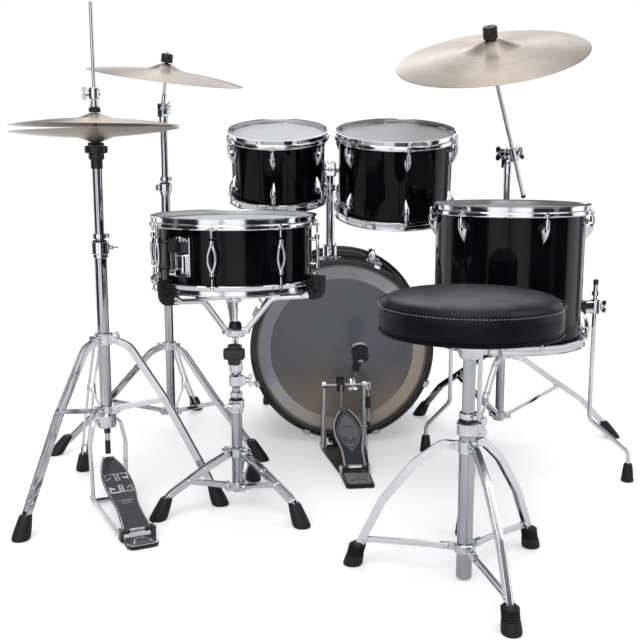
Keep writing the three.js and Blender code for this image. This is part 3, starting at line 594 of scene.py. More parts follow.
def shell_tube(drum, drop):
    end = drop + 1.8
    r = drum["radius"]
    low = end - drum["total"]
    profile = [(r - WALL, low + 4), (r - 3, low), (r - 1, low), (r, low + 1.5), (r, -end - 1.5), (r - 1, -end), (r - 3, -end),
               (r - WALL, -end - 4), (r - WALL, low + 4)]
    return Form().lathe(profile, 128)


def film(drum, drop, end, ring=None):
    """A head's film with its collar. ring is the inner and outer radius of a muffling ring on it."""
    r = drum["radius"]
    top = -drop
    profile = [(0, top - 1), (r - 12, top - 1), (r - 4, top - 1.1), (r - 2, top - 1.4), (r + 1.2, top - 4.6), (r + 1.2, top - 4),
               (r - 1, top - 0.6), (r - 4, top - 0.1), (r - 12, top), (0, top)]
    form = Form().lathe(profile, 128, end)
    if ring:
        form.lathe([(ring[0], top - 0.5), (ring[1], top - 0.5), (ring[1], top + 0.5), (ring[0], top + 0.5),
                    (ring[0], top - 0.5)], 128, end)
    return form


def flesh_hoop(drum, drop, end):
    r = drum["radius"]
    return Form().lathe([(r + 1, -drop - 9), (r + 5, -drop - 9), (r + 5.8, -drop - 2.4), (r + 4, -drop - 0.6), (r + 1, -drop - 1.4),
                         (r + 1, -drop - 9)], 128, end)


def vent(form, radius, angle, level):
    """The air vent's grommet."""
    form.tube(3.2, 7, -0.5, 1.6, 28, at=spin(angle) @ move(radius, 0, level) @ spin(90, "Y"))


def add_drum(prefix, drum, body, look, tubes=False):
    at = frame_of(drum)
    r, total = drum["radius"], drum["total"]
    shell, metal_parts = Parts(), Parts()
    shell["wrap"] = shell_tube(drum, STEEL_DROP)
    fittings = metal_parts["chrome"]
    vent(fittings, r, drum["first"] + 180 / drum["lugs"], -total / 2)
    for angle in lug_angles(drum):
        turned = spin(angle)
        for end in ends(drum):
            tension_rod(fittings, r + ROD_REACH, -20.4, -40, end @ turned)
        if tubes:
            tube_lug(fittings, drum, turned)
            continue
        for end in ends(drum):
            teardrop(fittings, r, -31, -83, 24, 21, ROD_REACH, end @ turned)
    build(prefix + "_shell_wrap", shell, body, at, [prefix + "_shell"])
    for end, side in zip(ends(drum), ("batter", "bottom")):
        hoop = Parts(chrome=steel_hoop(drum, end))
        hoop["cast"] = flesh_hoop(drum, STEEL_DROP, end)
        build(f"{prefix}_{side}_hoop_flanged", hoop, body, at, [f"{prefix}_{side}_hoop"])
        top = side == "batter"
        shown = Parts({look if top else "grey_film": film(drum, STEEL_DROP, end)})
        build(f"{prefix}_{side}_film", shown, body, at, [prefix + "_batter_head"] if top else ())
    return metal_parts


def tube_lug(form, drum, at):
    """A double-ended lug: two posts on the shell and a slotted almond between the rods."""
    r, half = drum["radius"] + ROD_REACH, drum["total"] / 2
    for sign in (1, -1):
        form.rod((r, 0, -half + sign * 27), (r, 0, -half + sign * 38), 5.6, 20, 1.4, at)
        form.rod((r - 16, 0, -half + sign * 28), (r, 0, -half + sign * 28), 4, 16, 1, at)
        bow = [(r + 1.6 * math.sin(math.pi * t / 16), sign * 8.2 * math.sin(math.pi * t / 16), -half - 32 + 64 * t / 16)
               for t in range(17)]
        form.sweep(bow, circle(2.9, 14), X, at)


def place_in(drum, at):
    return frame_of(drum).inverted() @ at


# ---------------------------------------------------------------- bass drum

TOM_HOLDER = {"at": (-259, 1010), "radius": 12.7, "arm": 792, "top": 817, "bottom": 455}
SPUR = {"along": 300, "angle": 38, "foot": (244, 430)}


def add_bass_drum():
    at = frame_of(BASS)
    r, total = BASS["radius"], BASS["total"]
    wrap = Parts(wrap=shell_tube(BASS, WOOD_DROP))
    build("bass_shell_wrap", wrap, "kit", at, ["bass_shell"])
    fittings = Parts()
    chrome = fittings["chrome"]
    vent(chrome, r, 45, -total / 2)
    for end, side in zip(ends(BASS), ("batter", "front")):
        hoop = Parts()
        profile = [(r + 3.6, -37), (r + 4.6, -38), (r + 10.4, -38), (r + 12, -36.4), (r + 12, -1.8), (r + 10.4, 0), (r + 4.8, 0),
                   (r + 3.6, -1.2), (r + 3.6, -37)]
        hoop["lacquer"].lathe(profile, 160, end)
        inside = -WOOD_DROP + 0.6
        hoop["lacquer"].lathe([(r - 5.6, inside), (r + 3.4, inside), (r + 3.4, inside + 4), (r - 3.4, inside + 3.2), (r - 5.6, inside + 1),
                               (r - 5.6, inside)], 160, end)
        hoop["wood"].lathe([(r - 7.2, inside), (r - 5.8, inside), (r - 5.8, inside + 1.2), (r - 7.2, inside + 0.8), (r - 7.2, inside)], 160, end)
        build(f"bass_{side}_hoop_ply", hoop, "kit", at, [f"bass_{side}_hoop"])
        look = "smoky" if side == "batter" else "front_film"
        head = Parts({look: film(BASS, WOOD_DROP, end)})
        if side == "batter":
            head["ring"].lathe([(r - 46, -WOOD_DROP - 0.6), (r - 12, -WOOD_DROP - 0.6), (r - 12, -WOOD_DROP + 0.5),
                                (r - 46, -WOOD_DROP + 0.5), (r - 46, -WOOD_DROP - 0.6)], 128, end)
        head["cast"] = flesh_hoop(BASS, WOOD_DROP, end)
        build(f"bass_{side}_film", head, "kit", at, [f"bass_{side}_head"])
        for angle in lug_angles(BASS):
            turned = end @ spin(angle)
            claw = [(r + 5, 0, 1.6), (r + 13, 0, 1.6), (r + 14.4, 0, -2), (r + 14.4, 0, -22), (r + 24, 0, -27)]
            chrome.sweep(filleted(claw, 3), flat(3, 17, 1), Y, turned)
            chrome.rod((r + 18.5, 0, -96), (r + 18.5, 0, -18), 2.8, 12, at=turned)
            chrome.rod((r + 18.5, 0, -22), (r + 18.5, 0, -14), 5, 16, 1.2, turned)
            chrome.rod((r + 18.5, -11, -12), (r + 18.5, 11, -12), 2.6, 12, 1.2, turned)
            teardrop(chrome, r, -80, -150, 25, 27, 18.5, turned)
    for sign in (-1, 1):
        angle = -SPUR["angle"] if sign > 0 else 180 + SPUR["angle"]
        mount = spin(angle) @ move(r + 2, 0, -SPUR["along"])
        chrome.box((14, 48, 48), (1, 0, 0), 5, mount, 3)
        for y, z in ((-17, -17), (17, -17), (-17, 17), (17, 17)):
            chrome.bolt(mount @ move(8, y, z) @ spin(90, "Y"), 3.4, 2)
    add_holder_base(chrome)
    build("bass_fittings", fittings, "kit", at)


def add_holder_base(chrome):
    """The plate and the receiver that hold the tom post, on top of the bass drum's shell."""
    x, y = TOM_HOLDER["at"]
    into = place_in(BASS, move(x, y, 0))
    surface = BASS["at"][2] + math.sqrt(BASS["radius"] ** 2 - (x - BASS["at"][0]) ** 2)
    chrome.box((74, 62, 9), (0, 0, surface + 1.5), 4, into, 3)
    chrome.lathe([(TOM_HOLDER["radius"] + 0.6, surface - 2), (26, surface - 2), (26, surface + 8), (20.5, surface + 14),
                  (20.5, surface + 44), (19, surface + 46), (TOM_HOLDER["radius"] + 0.6, surface + 46),
                  (TOM_HOLDER["radius"] + 0.6, surface - 2)], 40, into)
    for turn, height in ((-90, 30), (60, 34)):
        chrome.wing_bolt(into @ spin(turn) @ move(19, 0, surface + height) @ spin(90, "Y"), 1.0, 6)
    for sx in (-29, 29):
        for sy in (-22, 22):
            chrome.bolt(into @ move(sx, sy, surface + 6), 4, 2.4)


def add_spurs():
    for name, sign in (("bass_spur_left", -1), ("bass_spur_right", 1)):
        parts = Parts()
        down = math.radians(SPUR["angle"])

        def out(reach, z_offset=0):
            return Vector((sign * reach * math.cos(down), SPUR["along"], BASS["at"][2] - reach * math.sin(down) + z_offset))

        start = BASS["radius"] + 12.3
        foot = Vector((sign * SPUR["foot"][0], SPUR["foot"][1], 0))
        chrome = parts["chrome"]
        chrome.rod(out(start), out(start + 10), 17, 32, 1.5)
        chrome.rod(out(start + 8), out(start + 24), 13, 32, 2)
        way = Z.rotation_difference(out(start + 1) - out(start)).to_matrix().to_4x4()
        chrome.wing_bolt(Matrix.Translation(out(start + 24)) @ way, 1.1, 4)
        toe = foot + Vector((0, 0, 12))
        top = out(start + 13)
        split = top.lerp(toe, 0.46)
        chrome.rod(top, split, 8, 24, 1)
        chrome.rod(top.lerp(toe, 0.42), split, 10, 28, 1.5)
        chrome.rod(split, toe, 6, 20, 1)
        parts["rubber"].lathe([(0, 0), (8, 0), (12, 2.5), (12, 20), (10, 25), (9.5, 30), (0, 30)], 28, Matrix.Translation(foot))
        body = {-1: "bass_spur_left", 1: "bass_spur_right"}[sign]
        x, y, _ = BASS["at"]
        build(name + "_leg", parts, body, move(x, y, 0), [name])


# ---------------------------------------------------------------- mounted toms


def add_tom_holder():
    x, y = TOM_HOLDER["at"]
    parts = Parts()
    chrome = parts["chrome"]
    radius, arm = TOM_HOLDER["radius"], TOM_HOLDER["arm"]
    chrome.lathe([(0, TOM_HOLDER["bottom"]), (radius - 2, TOM_HOLDER["bottom"]), (radius, TOM_HOLDER["bottom"] + 2),
                  (radius, TOM_HOLDER["top"] - 14), (0, TOM_HOLDER["top"] - 14)], 40)
    chrome.box((38, 35, 40), (0, 0, arm), 7, None, 3)
    chrome.lathe([(0, arm + 16), (17, arm + 16), (17, arm + 20), (13, arm + 23), (0, arm + 23)], 36)
    chrome.tube(radius, radius + 8, arm - 60, arm - 44, 36)
    chrome.wing_bolt(move(0, -17, arm) @ spin(90, "X"), 1.15, 6)
    chrome.wing_bolt(move(0, -radius - 7, arm - 52) @ spin(90, "X"), 0.8, 4)
    for reach in (-330 - x, -172 - x):
        chrome.rod((0, 0, arm), (reach, 0, arm), 6, 20, 1)
        chrome.rod((0, 0, arm), (math.copysign(30, reach), 0, arm), 10, 28, 1.5)
    build("tom_holder_post", parts, "tom_holder", move(x, y, 0), ["tom_holder"])


def tom_bracket(form, drum, x, depth):
    """The cast bracket on a tom that turns on the holder's arm, with its key bolts."""
    y, z = TOM_HOLDER["at"][1], TOM_HOLDER["arm"]
    into = place_in(drum, move(x, y, z))
    form.box((31, depth - 14, 15), (0, 10 - (depth - 14) / 2 - 8, 0), 4, into, 3)
    form.box((31, depth * 0.4, 34), (0, 18 - depth + depth * 0.2, 0), 6, into, 3)
    form.tube(6.6, 15.5, -15.5, 15.5, 32, 1.6, into @ spin(90, "Y"))
    form.wing_bolt(into @ move(0, 0, 14) , 0.9, 4)


# ---------------------------------------------------------------- floor tom

FLOOR_LEG = {"rod": 5.5, "reach": 50, "top": 530, "knee": 172, "ankle": 76, "foot": 340, "bracket": 461}
FLOOR_LEGS = {"right": 8, "back": 118, "front": 245}


def add_floor_tom_fittings(parts):
    r = FLOOR_TOM["radius"]
    out = r + FLOOR_LEG["reach"]
    level = FLOOR_LEG["bracket"] - FLOOR_TOM["at"][2]
    for angle in FLOOR_LEGS.values():
        at = spin(angle) @ move(0, 0, level)
        parts["chrome"].box((10, 34, 44), (r + 3.5, 0, 0), 4, at, 3)
        parts["chrome"].box((40, 24, 30), (r + 26, 0, 0), 6, at, 3)
        parts["nylon"].box((14, 30, 34), (r + 15, 0, 0), 3, at)
        parts["chrome"].tube(FLOOR_LEG["rod"] + 0.6, 13, -17, 17, 32, 1.4, at @ move(out, 0, 0))
        parts["chrome"].wing_bolt(at @ move(out + 12, 0, 0) @ spin(90, "Y"), 1.05, 3)
        for z in (-15, 15):
            parts["chrome"].bolt(at @ move(r + 8, 11, z) @ spin(90, "Y"), 3, 2)


def add_floor_legs():
    reach = FLOOR_TOM["radius"] + FLOOR_LEG["reach"]
    x, y, _ = FLOOR_TOM["at"]
    for side, angle in FLOOR_LEGS.items():
        parts = Parts()
        path = [(reach, 0, FLOOR_LEG["top"] - 10), (reach, 0, FLOOR_LEG["knee"]), (FLOOR_LEG["foot"], 0, FLOOR_LEG["ankle"]),
                (FLOOR_LEG["foot"], 0, 20)]
        parts["chrome"].bent(path, FLOOR_LEG["rod"], 34)
        parts["nylon"].rod((reach, 0, FLOOR_LEG["top"] - 14), (reach, 0, FLOOR_LEG["top"]), 6.4, 20, 2)
        foot = move(FLOOR_LEG["foot"], 0, 0)
        parts["rubber"].lathe([(0, 0), (13.5, 0), (16, 2.4), (16, 10), (14, 12), (14, 14.5), (15, 16.5), (11.4, 44), (9.6, 48), (0, 48)],
                              32, foot)
        parts["chrome"].tube(FLOOR_LEG["rod"] + 0.2, 9, 490, 500, 24, at=move(reach, 0, 0))
        build("floor_tom_leg_rod_" + side, parts, "floor_tom_leg_" + side, move(x, y, 0) @ spin(angle), ["floor_tom_leg_" + side])


# ---------------------------------------------------------------- snare drum

THROW_OFF = -122


def add_snare_fittings(parts):
    """The strainer on one side, the butt plate on the other, and the wires under the drum."""
    r, total = SNARE["radius"], SNARE["total"]
    chrome = parts["chrome"]
    at = spin(THROW_OFF) @ move(r, 0, -82)
    chrome.box((8, 44, 84), (3.5, 0, 0), 3, at, 3)
    chrome.box((18, 30, 40), (12, 0, -14), 5, at, 3)
    parts["nylon"].box((15, 22, 26), (12, 0, 22), 5, at, 3)
    chrome.tube(3, 8, 34, 44, 24, at=at @ move(11, 0, 0))
    for z in (-35, 35):
        chrome.bolt(at @ move(7, 14, z) @ spin(90, "Y"), 3, 2)
    butt = spin(THROW_OFF + 180) @ move(r, 0, -92)
    chrome.box((9, 34, 44), (4, 0, 0), 3, butt, 3)
    chrome.box((14, 24, 16), (9, 0, -14), 4, butt, 3)
    under = spin(THROW_OFF)
    low = STEEL_DROP - 1.8 - total
    for i in range(16):
        aside = (i - 7.5) * 2.2
        chrome.rod((-r + 34, aside, low), (r - 34, aside, low), 0.8, 6, 0.1, under)
    for sign in (-1, 1):
        chrome.box((12, 42, 2.4), (sign * (r - 28), 0, low), 0.8, under)
        parts["nylon"].sweep([(sign * (r - 24), 0, low - 0.6), (sign * (r - 2), 0, low - 0.6), (sign * (r + 11), 0, -112)],
                             flat(1.2, 22, 0.4), Y, under)


def add_throw_off():
    r = SNARE["radius"] + 22.3
    parts = Parts()
    chrome = parts["chrome"]
    chrome.rod((r + 9, -9, -112), (r + 9, 9, -112), 8.5, 28, 1.6)
    path = [(r + 9, 0, -112), (r + 10, 0, -86), (r + 12, 0, -58), (r + 9, 0, -44)]
    chrome.sweep(filleted(path, 18), flat(5, 15, 2), Y)
    parts["rubber"].sweep(filleted([(r + 11, 0, -70), (r + 12, 0, -54), (r + 9, 0, -41)], 12), flat(9, 20, 3), Y)
    build("throw_off_arm", parts, "throw_off_lever", move(*SNARE["at"]) @ spin(THROW_OFF), ["throw_off_lever"])


# ---------------------------------------------------------------- tripods


BOOT_SHAPE = ((0, 0.88), (0.025, 0.96), (0.07, 1.0), (0.16, 1.0), (0.3, 0.97), (0.45, 0.92), (0.6, 0.86), (0.75, 0.8),
              (0.88, 0.74), (0.96, 0.7), (1, 0.64))


def boot(form, foot, lean, radius=21, height=52, at=None, ribs=0):
    """A rubber foot, flat on the floor, whose top leans back towards the stand by lean."""
    rings, around = [], 32
    shape = list(BOOT_SHAPE)
    if ribs:
        grooves = [(0.5 + 0.45 * k / (2 * ribs), 0.9 if k % 2 else 0.74) for k in range(2 * ribs + 1)]
        shape = [row for row in BOOT_SHAPE if row[0] < 0.5] + grooves + [(1, 0.6)]
    for s, size in shape:
        middle = foot - lean * s
        rings.append([(middle + size * radius * math.cos(TURN * i / around), size * radius * 0.96 * math.sin(TURN * i / around), s * height)
                      for i in range(around)])
    form.loft(rings, at)


def reach_at(path, height):
    """How far out a descending path is at a height."""
    for (r0, z0), (r1, z1) in zip(path, path[1:]):
        if z1 <= height <= z0:
            return r0 + (r1 - r0) * (z0 - height) / (z0 - z1)
    return path[-1][0]


def rivet(form, radius, height, half, at):
    """A rivet across both bars of a leg."""
    form.rod((radius, -half, height), (radius, half, height), 2.6, 14, 0.8, at)
    for sign in (-1, 1):
        form.rod((radius, sign * (half - 1), height), (radius, sign * (half + 1.6), height), 4.6, 18, 1.2, at)


def tripod_leg(parts, stand, spacing, at):
    chrome = parts["chrome"]
    path = [(stand["tube"], stand["collar"]), *stand["arch"], (stand["foot"] - 4, 18)]
    for side in (-1, 1):
        chrome.bar(path, 16, 3.4, side * spacing / 2, 46, at, 1.4)
    chrome.bar([(stand["tube"] + 3, stand["bracket"]), stand["brace"]], 12, 2.6, (spacing + 3) / 2 - 1.2, 0, at)
    chrome.bar([(stand["tube"] + 3, stand["bracket"]), stand["brace"]], 12, 2.6, -(spacing + 3) / 2 + 1.2, 0, at)
    chrome.bar([(stand["tube"] + 3, stand["bracket"] + 4.6), (stand["brace"][0], stand["brace"][1] + 4.6)], 2.4, spacing + 1, 0, 0, at)
    half = spacing / 2 + 2.4
    rivet(chrome, *stand["brace"], half, at)
    for level, out in ((stand["bracket"], 12), (stand["collar"] - 1, 14)):
        rivet(chrome, stand["tube"] + out, level, half, at)
        for side in (-1, 1):
            chrome.box((20, 2.2, 20), (stand["tube"] + out - 2, side * (half + 0.4), level), 1, at)
            chrome.bolt(at @ move(stand["tube"] + out, side * (half + 1.4), level) @ spin(-side * 90, "X"), 6, 4)
    for k in range(len(path) - 1):
        (r0, z0), (r1, z1) = path[k], path[k + 1]
        if k:
            rivet(chrome, r0 * 0.94 + r1 * 0.06, z0 * 0.94 + z1 * 0.06, half - 0.6, at)
    boot(parts["rubber"], stand["foot"], min(stand["foot"] - reach_at(path, 46), 40), at=at)


def height_lock(parts, at, radius, low, high, wing=90):
    """The clamp where a thinner tube leaves a stand: a nylon bush, a cast collar, its lug and wing bolt."""
    chrome = parts["chrome"]
    chrome.tube(radius - 1, radius + 6, low + 4, high - 3, 36, 1.6, at)
    chrome.tube(radius - 1, radius + 3.4, low - 5, low + 6, 36, 1.2, at)
    parts["nylon"].tube(radius - 2, radius + 2.5, high - 3, high, 36, 0.8, at)
    turned = at @ spin(wing)
    middle = (low + high) / 2
    chrome.box((17, 15, (high - low) * 0.6), (radius + 8, 0, middle), 4, turned, 3)
    chrome.rod((radius + 9, -11, middle), (radius + 9, 11, middle), 5, 20, 1.2, turned)
    chrome.wing_bolt(turned @ move(radius + 9, -10, middle) @ spin(90, "X"), 1.0, 4)


def memory_lock(chrome, at, radius, height, wing=60):
    """A split ring that rests on a lock and keeps a tube's height, with its small key bolt."""
    chrome.tube(radius + 0.5, radius + 5, height, height + 12, 36, 1, at)
    chrome.box((10, 8, 11), (radius + 6, 0, height + 6), 2, at @ spin(wing))
    chrome.bolt(at @ spin(wing) @ move(radius + 6, -4, height + 6) @ spin(90, "X"), 3.4, 4)


def tripod(parts, stand, spacing, clamp=26, collar=24, wing=90, key=-60):
    chrome = parts["chrome"]
    tube, top = stand["tube"], stand["top"]
    inner = stand["post"] + 0.5
    parts["steel"].lathe([(inner, stand["bottom"]), (tube - 1, stand["bottom"]), (tube, stand["bottom"] + 1), (tube, top - 2),
                  (inner, top - 2), (inner, stand["bottom"])], 40)
    low, high = stand["collar"] - collar / 2, stand["collar"] + collar / 2
    chrome.tube(tube, tube + 6, low, high, 40, 1.5)
    chrome.tube(tube, tube + 8, high - 6, high - 2, 40, 0.8)
    chrome.tube(tube, tube + 5, stand["bracket"] - 9, stand["bracket"] + 9, 40, 1.2)
    chrome.tube(tube, tube + 7, stand["bracket"] - 3, stand["bracket"] + 3, 40, 0.8)
    chrome.wing_bolt(spin(wing - 60) @ move(tube + 5, 0, stand["collar"] + 2) @ spin(90, "Y"), 1.0, 3)
    for turn in (0, 120, 240):
        at = spin(stand["first"] + turn)
        for middle, width in ((stand["collar"], 20), (stand["bracket"], 16)):
            chrome.box((15, spacing - 4.4, width - 2), (tube + 11, 0, middle), 2, at)
        tripod_leg(parts, stand, spacing, at)
    height_lock(parts, Matrix.Identity(4), tube, top - clamp - 4, top, wing)
    memory_lock(chrome, Matrix.Identity(4), stand["post"], top + 4, key)


# ---------------------------------------------------------------- snare stand

SNARE_STAND = {"tube": 12.7, "post": 9.5, "top": 272, "bottom": 44, "collar": 142, "bracket": 59, "foot": 196, "first": -157,
               "arch": [(74, 112), (165, 57)], "brace": (120, 84)}
BASKET = {"pivot": 384, "ring": 430, "arms": (-134, -14, 106)}


def add_snare_stand():
    x, y, top = SNARE["at"]
    at = move(x, y, 0)
    base = Parts()
    tripod(base, SNARE_STAND, 13, wing=-90, key=-60)
    build("snare_stand_tripod", base, "kit", at, ["snare_stand_base"])
    tube = Parts()
    pivot, ring = BASKET["pivot"], BASKET["ring"]
    chrome = tube["chrome"]
    tube["steel"].rod((0, 0, 120), (0, 0, pivot - 34), 9.5, 32)
    chrome.lathe([(0, pivot - 52), (12, pivot - 52), (16, pivot - 46), (16, pivot - 31), (14, pivot - 28), (0, pivot - 28)], 36)
    for side in (-1, 1):
        chrome.box((6, 23, 48), (side * 12, 0, pivot - 9), 2.6, None, 3)
        chrome.bolt(move(side * 15, 0, pivot) @ spin(side * 90, "Y"), 7, 4)
    chrome.lathe([(0, 300), (13, 300), (17, 304), (17, 326), (14, 330), (0, 330)], 36)
    chrome.box((20, 16, 20), (14, 0, 315), 4, None, 3)
    chrome.wing_bolt(move(22, 0, 315) @ spin(90, "Y"), 1.1, 3)
    tube["nylon"].rod((0, -12, pivot), (0, -34, pivot), 8, 24, 1.4)
    tube["nylon"].box((50, 20, 28), (0, -38, pivot + 2), 9, None, 3)
    tube["nylon"].box((30, 18, 50), (0, -36, pivot), 8, None, 3)
    build("snare_stand_upper", tube, "snare_height_tube", at, ["snare_stand_height_tube"])
    bottom = top - SNARE["total"]
    inner = SNARE["radius"] + 14
    basket = Parts()
    chrome = basket["chrome"]
    chrome.rod((-8.4, 0, pivot), (8.4, 0, pivot), 9, 28, 1)
    chrome.rod((0, 0, pivot), (0, 0, bottom - 24), 7, 24)
    chrome.lathe([(7, bottom - 40), (14, bottom - 38), (16, bottom - 34), (16, bottom - 28), (13, bottom - 24), (7, bottom - 24), (7, bottom - 40)], 36)
    chrome.lathe([(7, ring - 10), (20, ring - 10), (22, ring - 7), (22, ring + 6), (19, ring + 9), (7, ring + 9), (7, ring - 10)], 40)
    basket["nylon"].lathe([(5, ring + 9), (15, ring + 9), (16, ring + 12), (14, ring + 22), (10, ring + 25), (5, ring + 25), (5, ring + 9)], 24)
    for angle in BASKET["arms"]:
        turned = spin(angle)
        arm = [(4, 0, ring), (28, 0, ring + 6), (92, 0, bottom - 26), (inner - 14, 0, bottom - 18)]
        chrome.sweep(filleted(arm, 30), flat(12, 12, 3), Y, turned)
        chrome.sweep([(6, 0, bottom - 26), (50, 0, bottom - 22), (110, 0, bottom - 20)], flat(12, 12, 3), Y, turned)
        for side in (-1, 1):
            chrome.box((18, 3, 14), (26, side * 6.4, ring + 4), 1.2, turned)
        chrome.rod((26, -9, ring + 4), (26, 9, ring + 4), 3, 16, 1, turned)
        chrome.rod((inner - 34, 0, bottom - 20), (inner - 16, 0, bottom - 9), 7, 20, 1.2, turned)
        rubber = basket["rubber"]
        grip = [(inner - 28, 0, bottom - 7), (inner + 4, 0, bottom - 7), (inner + 5, 0, bottom + 30)]
        rubber.sweep(filleted(grip, 8), flat(38, 10, 3), Y, turned)
        for step in range(4):
            rubber.box((3, 38, 2.4), (inner + 9.6, 0, bottom + step * 7), 0.8, turned)
    build("snare_basket_arms", basket, "snare", at, ["snare_basket"])

# ---------------------------------------------------------------- cymbals and their stands

CRASH = {"at": (-728, 943), "tube": 12.7, "post": 9.5, "top": 757, "bottom": 78, "collar": 286, "bracket": 90, "foot": 342,
         "first": -155, "arch": [(55, 272), (178, 146), (300, 38)], "brace": (180, 140)}
CRASH_CYMBAL = {"radius": 8.5 * INCH, "bell": 60, "bell_height": 18, "bow": 20, "sheet": 1.6, "tilt": 6.4, "roll": 7.4}
CRASH_TILTER = {"pivot": 965, "reach": 100.5}
RIDE = {"at": (240, 929), "tube": 12.7, "post": 9.5, "top": 560, "bottom": 64, "collar": 262, "bracket": 80, "foot": 353,
        "first": 6, "arch": [(66, 247), (152, 185), (250, 118), (325, 38)], "brace": (175, 166)}
RIDE_CYMBAL = {"radius": 10 * INCH, "bell": 80, "bell_height": 22, "bow": 24, "sheet": 2, "tilt": 19.4, "roll": -9.5}
RIDE_ARM = {"pivot": 838, "reach": 273, "tail": 140, "lean": 30, "turn": -38.7, "rod": 5.5, "aside": 17, "seat": 61}
HAT = {"radius": 7.5 * INCH, "edge": 901, "gap": 9, "lean": 1.6, "bell": 46, "bell_height": 12, "bow": 16, "sheet": 1.6}


def cymbal(c, at=None):
    """A lathed cymbal about its own axis, its edge at height 0."""
    radius, bell = c["radius"], c["bell"]

    def top(r):
        dome = c["bell_height"] * math.cos(math.pi / 2 * r / bell) ** 2 if r < bell else 0
        return c["bow"] * (1 - (r / radius) ** 2) + dome

    stations = [6.2, 8] + [bell * k / 10 for k in range(2, 10)] + [bell * 0.97, bell, bell * 1.03]
    stations += [bell * 1.03 + (radius - 1.4 - bell * 1.03) * k / 24 for k in range(1, 25)]
    thin = [c["sheet"] * (1 if r < radius * 0.8 else 1 - 0.45 * (r / radius - 0.8) / 0.2) for r in stations]
    ripple = [0.03 * math.sin(r * 0.9) if r > bell * 1.1 else 0 for r in stations]
    upper = [(r, top(r) + t + w) for r, t, w in zip(stations, thin, ripple)]
    lower = [(r, top(r)) for r in stations]
    edge = [(radius - 0.3, top(radius) + 0.1), (radius, top(radius) + 0.45), (radius - 0.4, top(radius) + 0.8)]
    loop = lower + edge + upper[::-1]
    return Form().lathe(loop + [loop[0]], 144, at)


def leaning(height, c, at=(0, 0)):
    """The frame of a stand's head, which leans back by tilt and aside by roll."""
    return move(*at, height) @ spin(c["roll"], "Y") @ spin(c["tilt"], "X")


def pin_turn(c):
    return math.degrees(math.atan2(math.sin(math.radians(c["roll"])), math.sin(math.radians(c["tilt"]))))


def cymbal_seat(parts, hub, at, knob, crest):
    """Seat cup, felts, sleeve and top knob about the cymbal's axis, hub being its bell's underside."""
    parts["chrome"].rod((0, 0, hub - 60), (0, 0, hub + crest + 4), 3.6, 16, 1, at)
    parts["chrome"].lathe([(0, hub - 40), (8, hub - 40), (13, hub - 31), (13, hub - 28.5), (0, hub - 28.5)], 32, at)
    parts["felt"].lathe([(3.6, hub - 28), (12.4, hub - 28), (13, hub - 25), (12.6, hub - 11), (11, hub - 9), (3.6, hub - 9),
                         (3.6, hub - 28)], 32, at)
    parts["felt"].lathe([(3.6, hub + 3.2), (knob - 1.6, hub + 3.2), (knob, hub + 5), (knob, hub + 12), (knob - 1, hub + 13.4),
                         (3.6, hub + 13.4), (3.6, hub + 3.2)], 44, at)
    parts["nylon"].lathe([(0, hub - 28), (5.4, hub - 28), (5.4, hub + 13.6), (knob - 0.8, hub + 13.6), (knob, hub + 15),
                          (knob, hub + crest - 4), (knob - 1.4, hub + crest - 1.6), (knob - 5, hub + crest), (0, hub + crest)], 40, at)


def add_crash():
    x, y = CRASH["at"]
    at = move(x, y, 0)
    base = Parts()
    tripod(base, CRASH, 12, wing=150, key=40)
    build("crash_stand_tripod", base, "kit", at, ["crash_stand_base"])
    pivot, pin = CRASH_TILTER["pivot"], pin_turn(CRASH_CYMBAL)
    tube = Parts()
    chrome = tube["chrome"]
    tube["steel"].rod((0, 0, 480), (0, 0, pivot - 20), 9.5, 32)
    chrome.lathe([(0, pivot - 52), (11, pivot - 52), (13, pivot - 48), (13, pivot - 26), (0, pivot - 26)], 36)
    turned = spin(pin)
    chrome.box((25, 20, 9), (0, 0, pivot - 22), 3, turned, 3)
    for side in (-1, 1):
        chrome.box((5, 21, 36), (side * 9.5, 0, pivot - 7), 2.2, turned, 3)
        chrome.rod((side * 11, 0, pivot), (side * 13.4, 0, pivot), 8, 24, 0.8, turned)
    chrome.wing_bolt(turned @ move(13, 0, pivot) @ spin(90, "Y"), 1.15, 1)
    build("crash_upper_tube", tube, "crash_height_tube", at, ["crash_height_tube"])
    head = leaning(pivot, CRASH_CYMBAL)
    crown = CRASH_CYMBAL["bow"] + CRASH_CYMBAL["bell_height"]
    edge = CRASH_TILTER["reach"] - crown / 2
    hub = edge + crown
    stem = Parts()
    chrome = stem["chrome"]
    chrome.rod((-6.5, 0, 0), (6.5, 0, 0), 9, 28, 1, spin(pin))
    chrome.lathe([(0, 4), (6.5, 6), (6.5, 32), (5, 36), (4.2, 38), (4.2, hub - 38), (0, hub - 38)], 28)
    cymbal_seat(stem, hub, None, 16, 28)
    build("crash_tilter_head", stem, "crash_tilter", at @ head, ["crash_tilter"])
    sheet = Parts(bronze=cymbal(CRASH_CYMBAL))
    build("crash_cymbal_lathed", sheet, "crash_cymbal", at @ head @ move(0, 0, edge), ["crash_cymbal"])


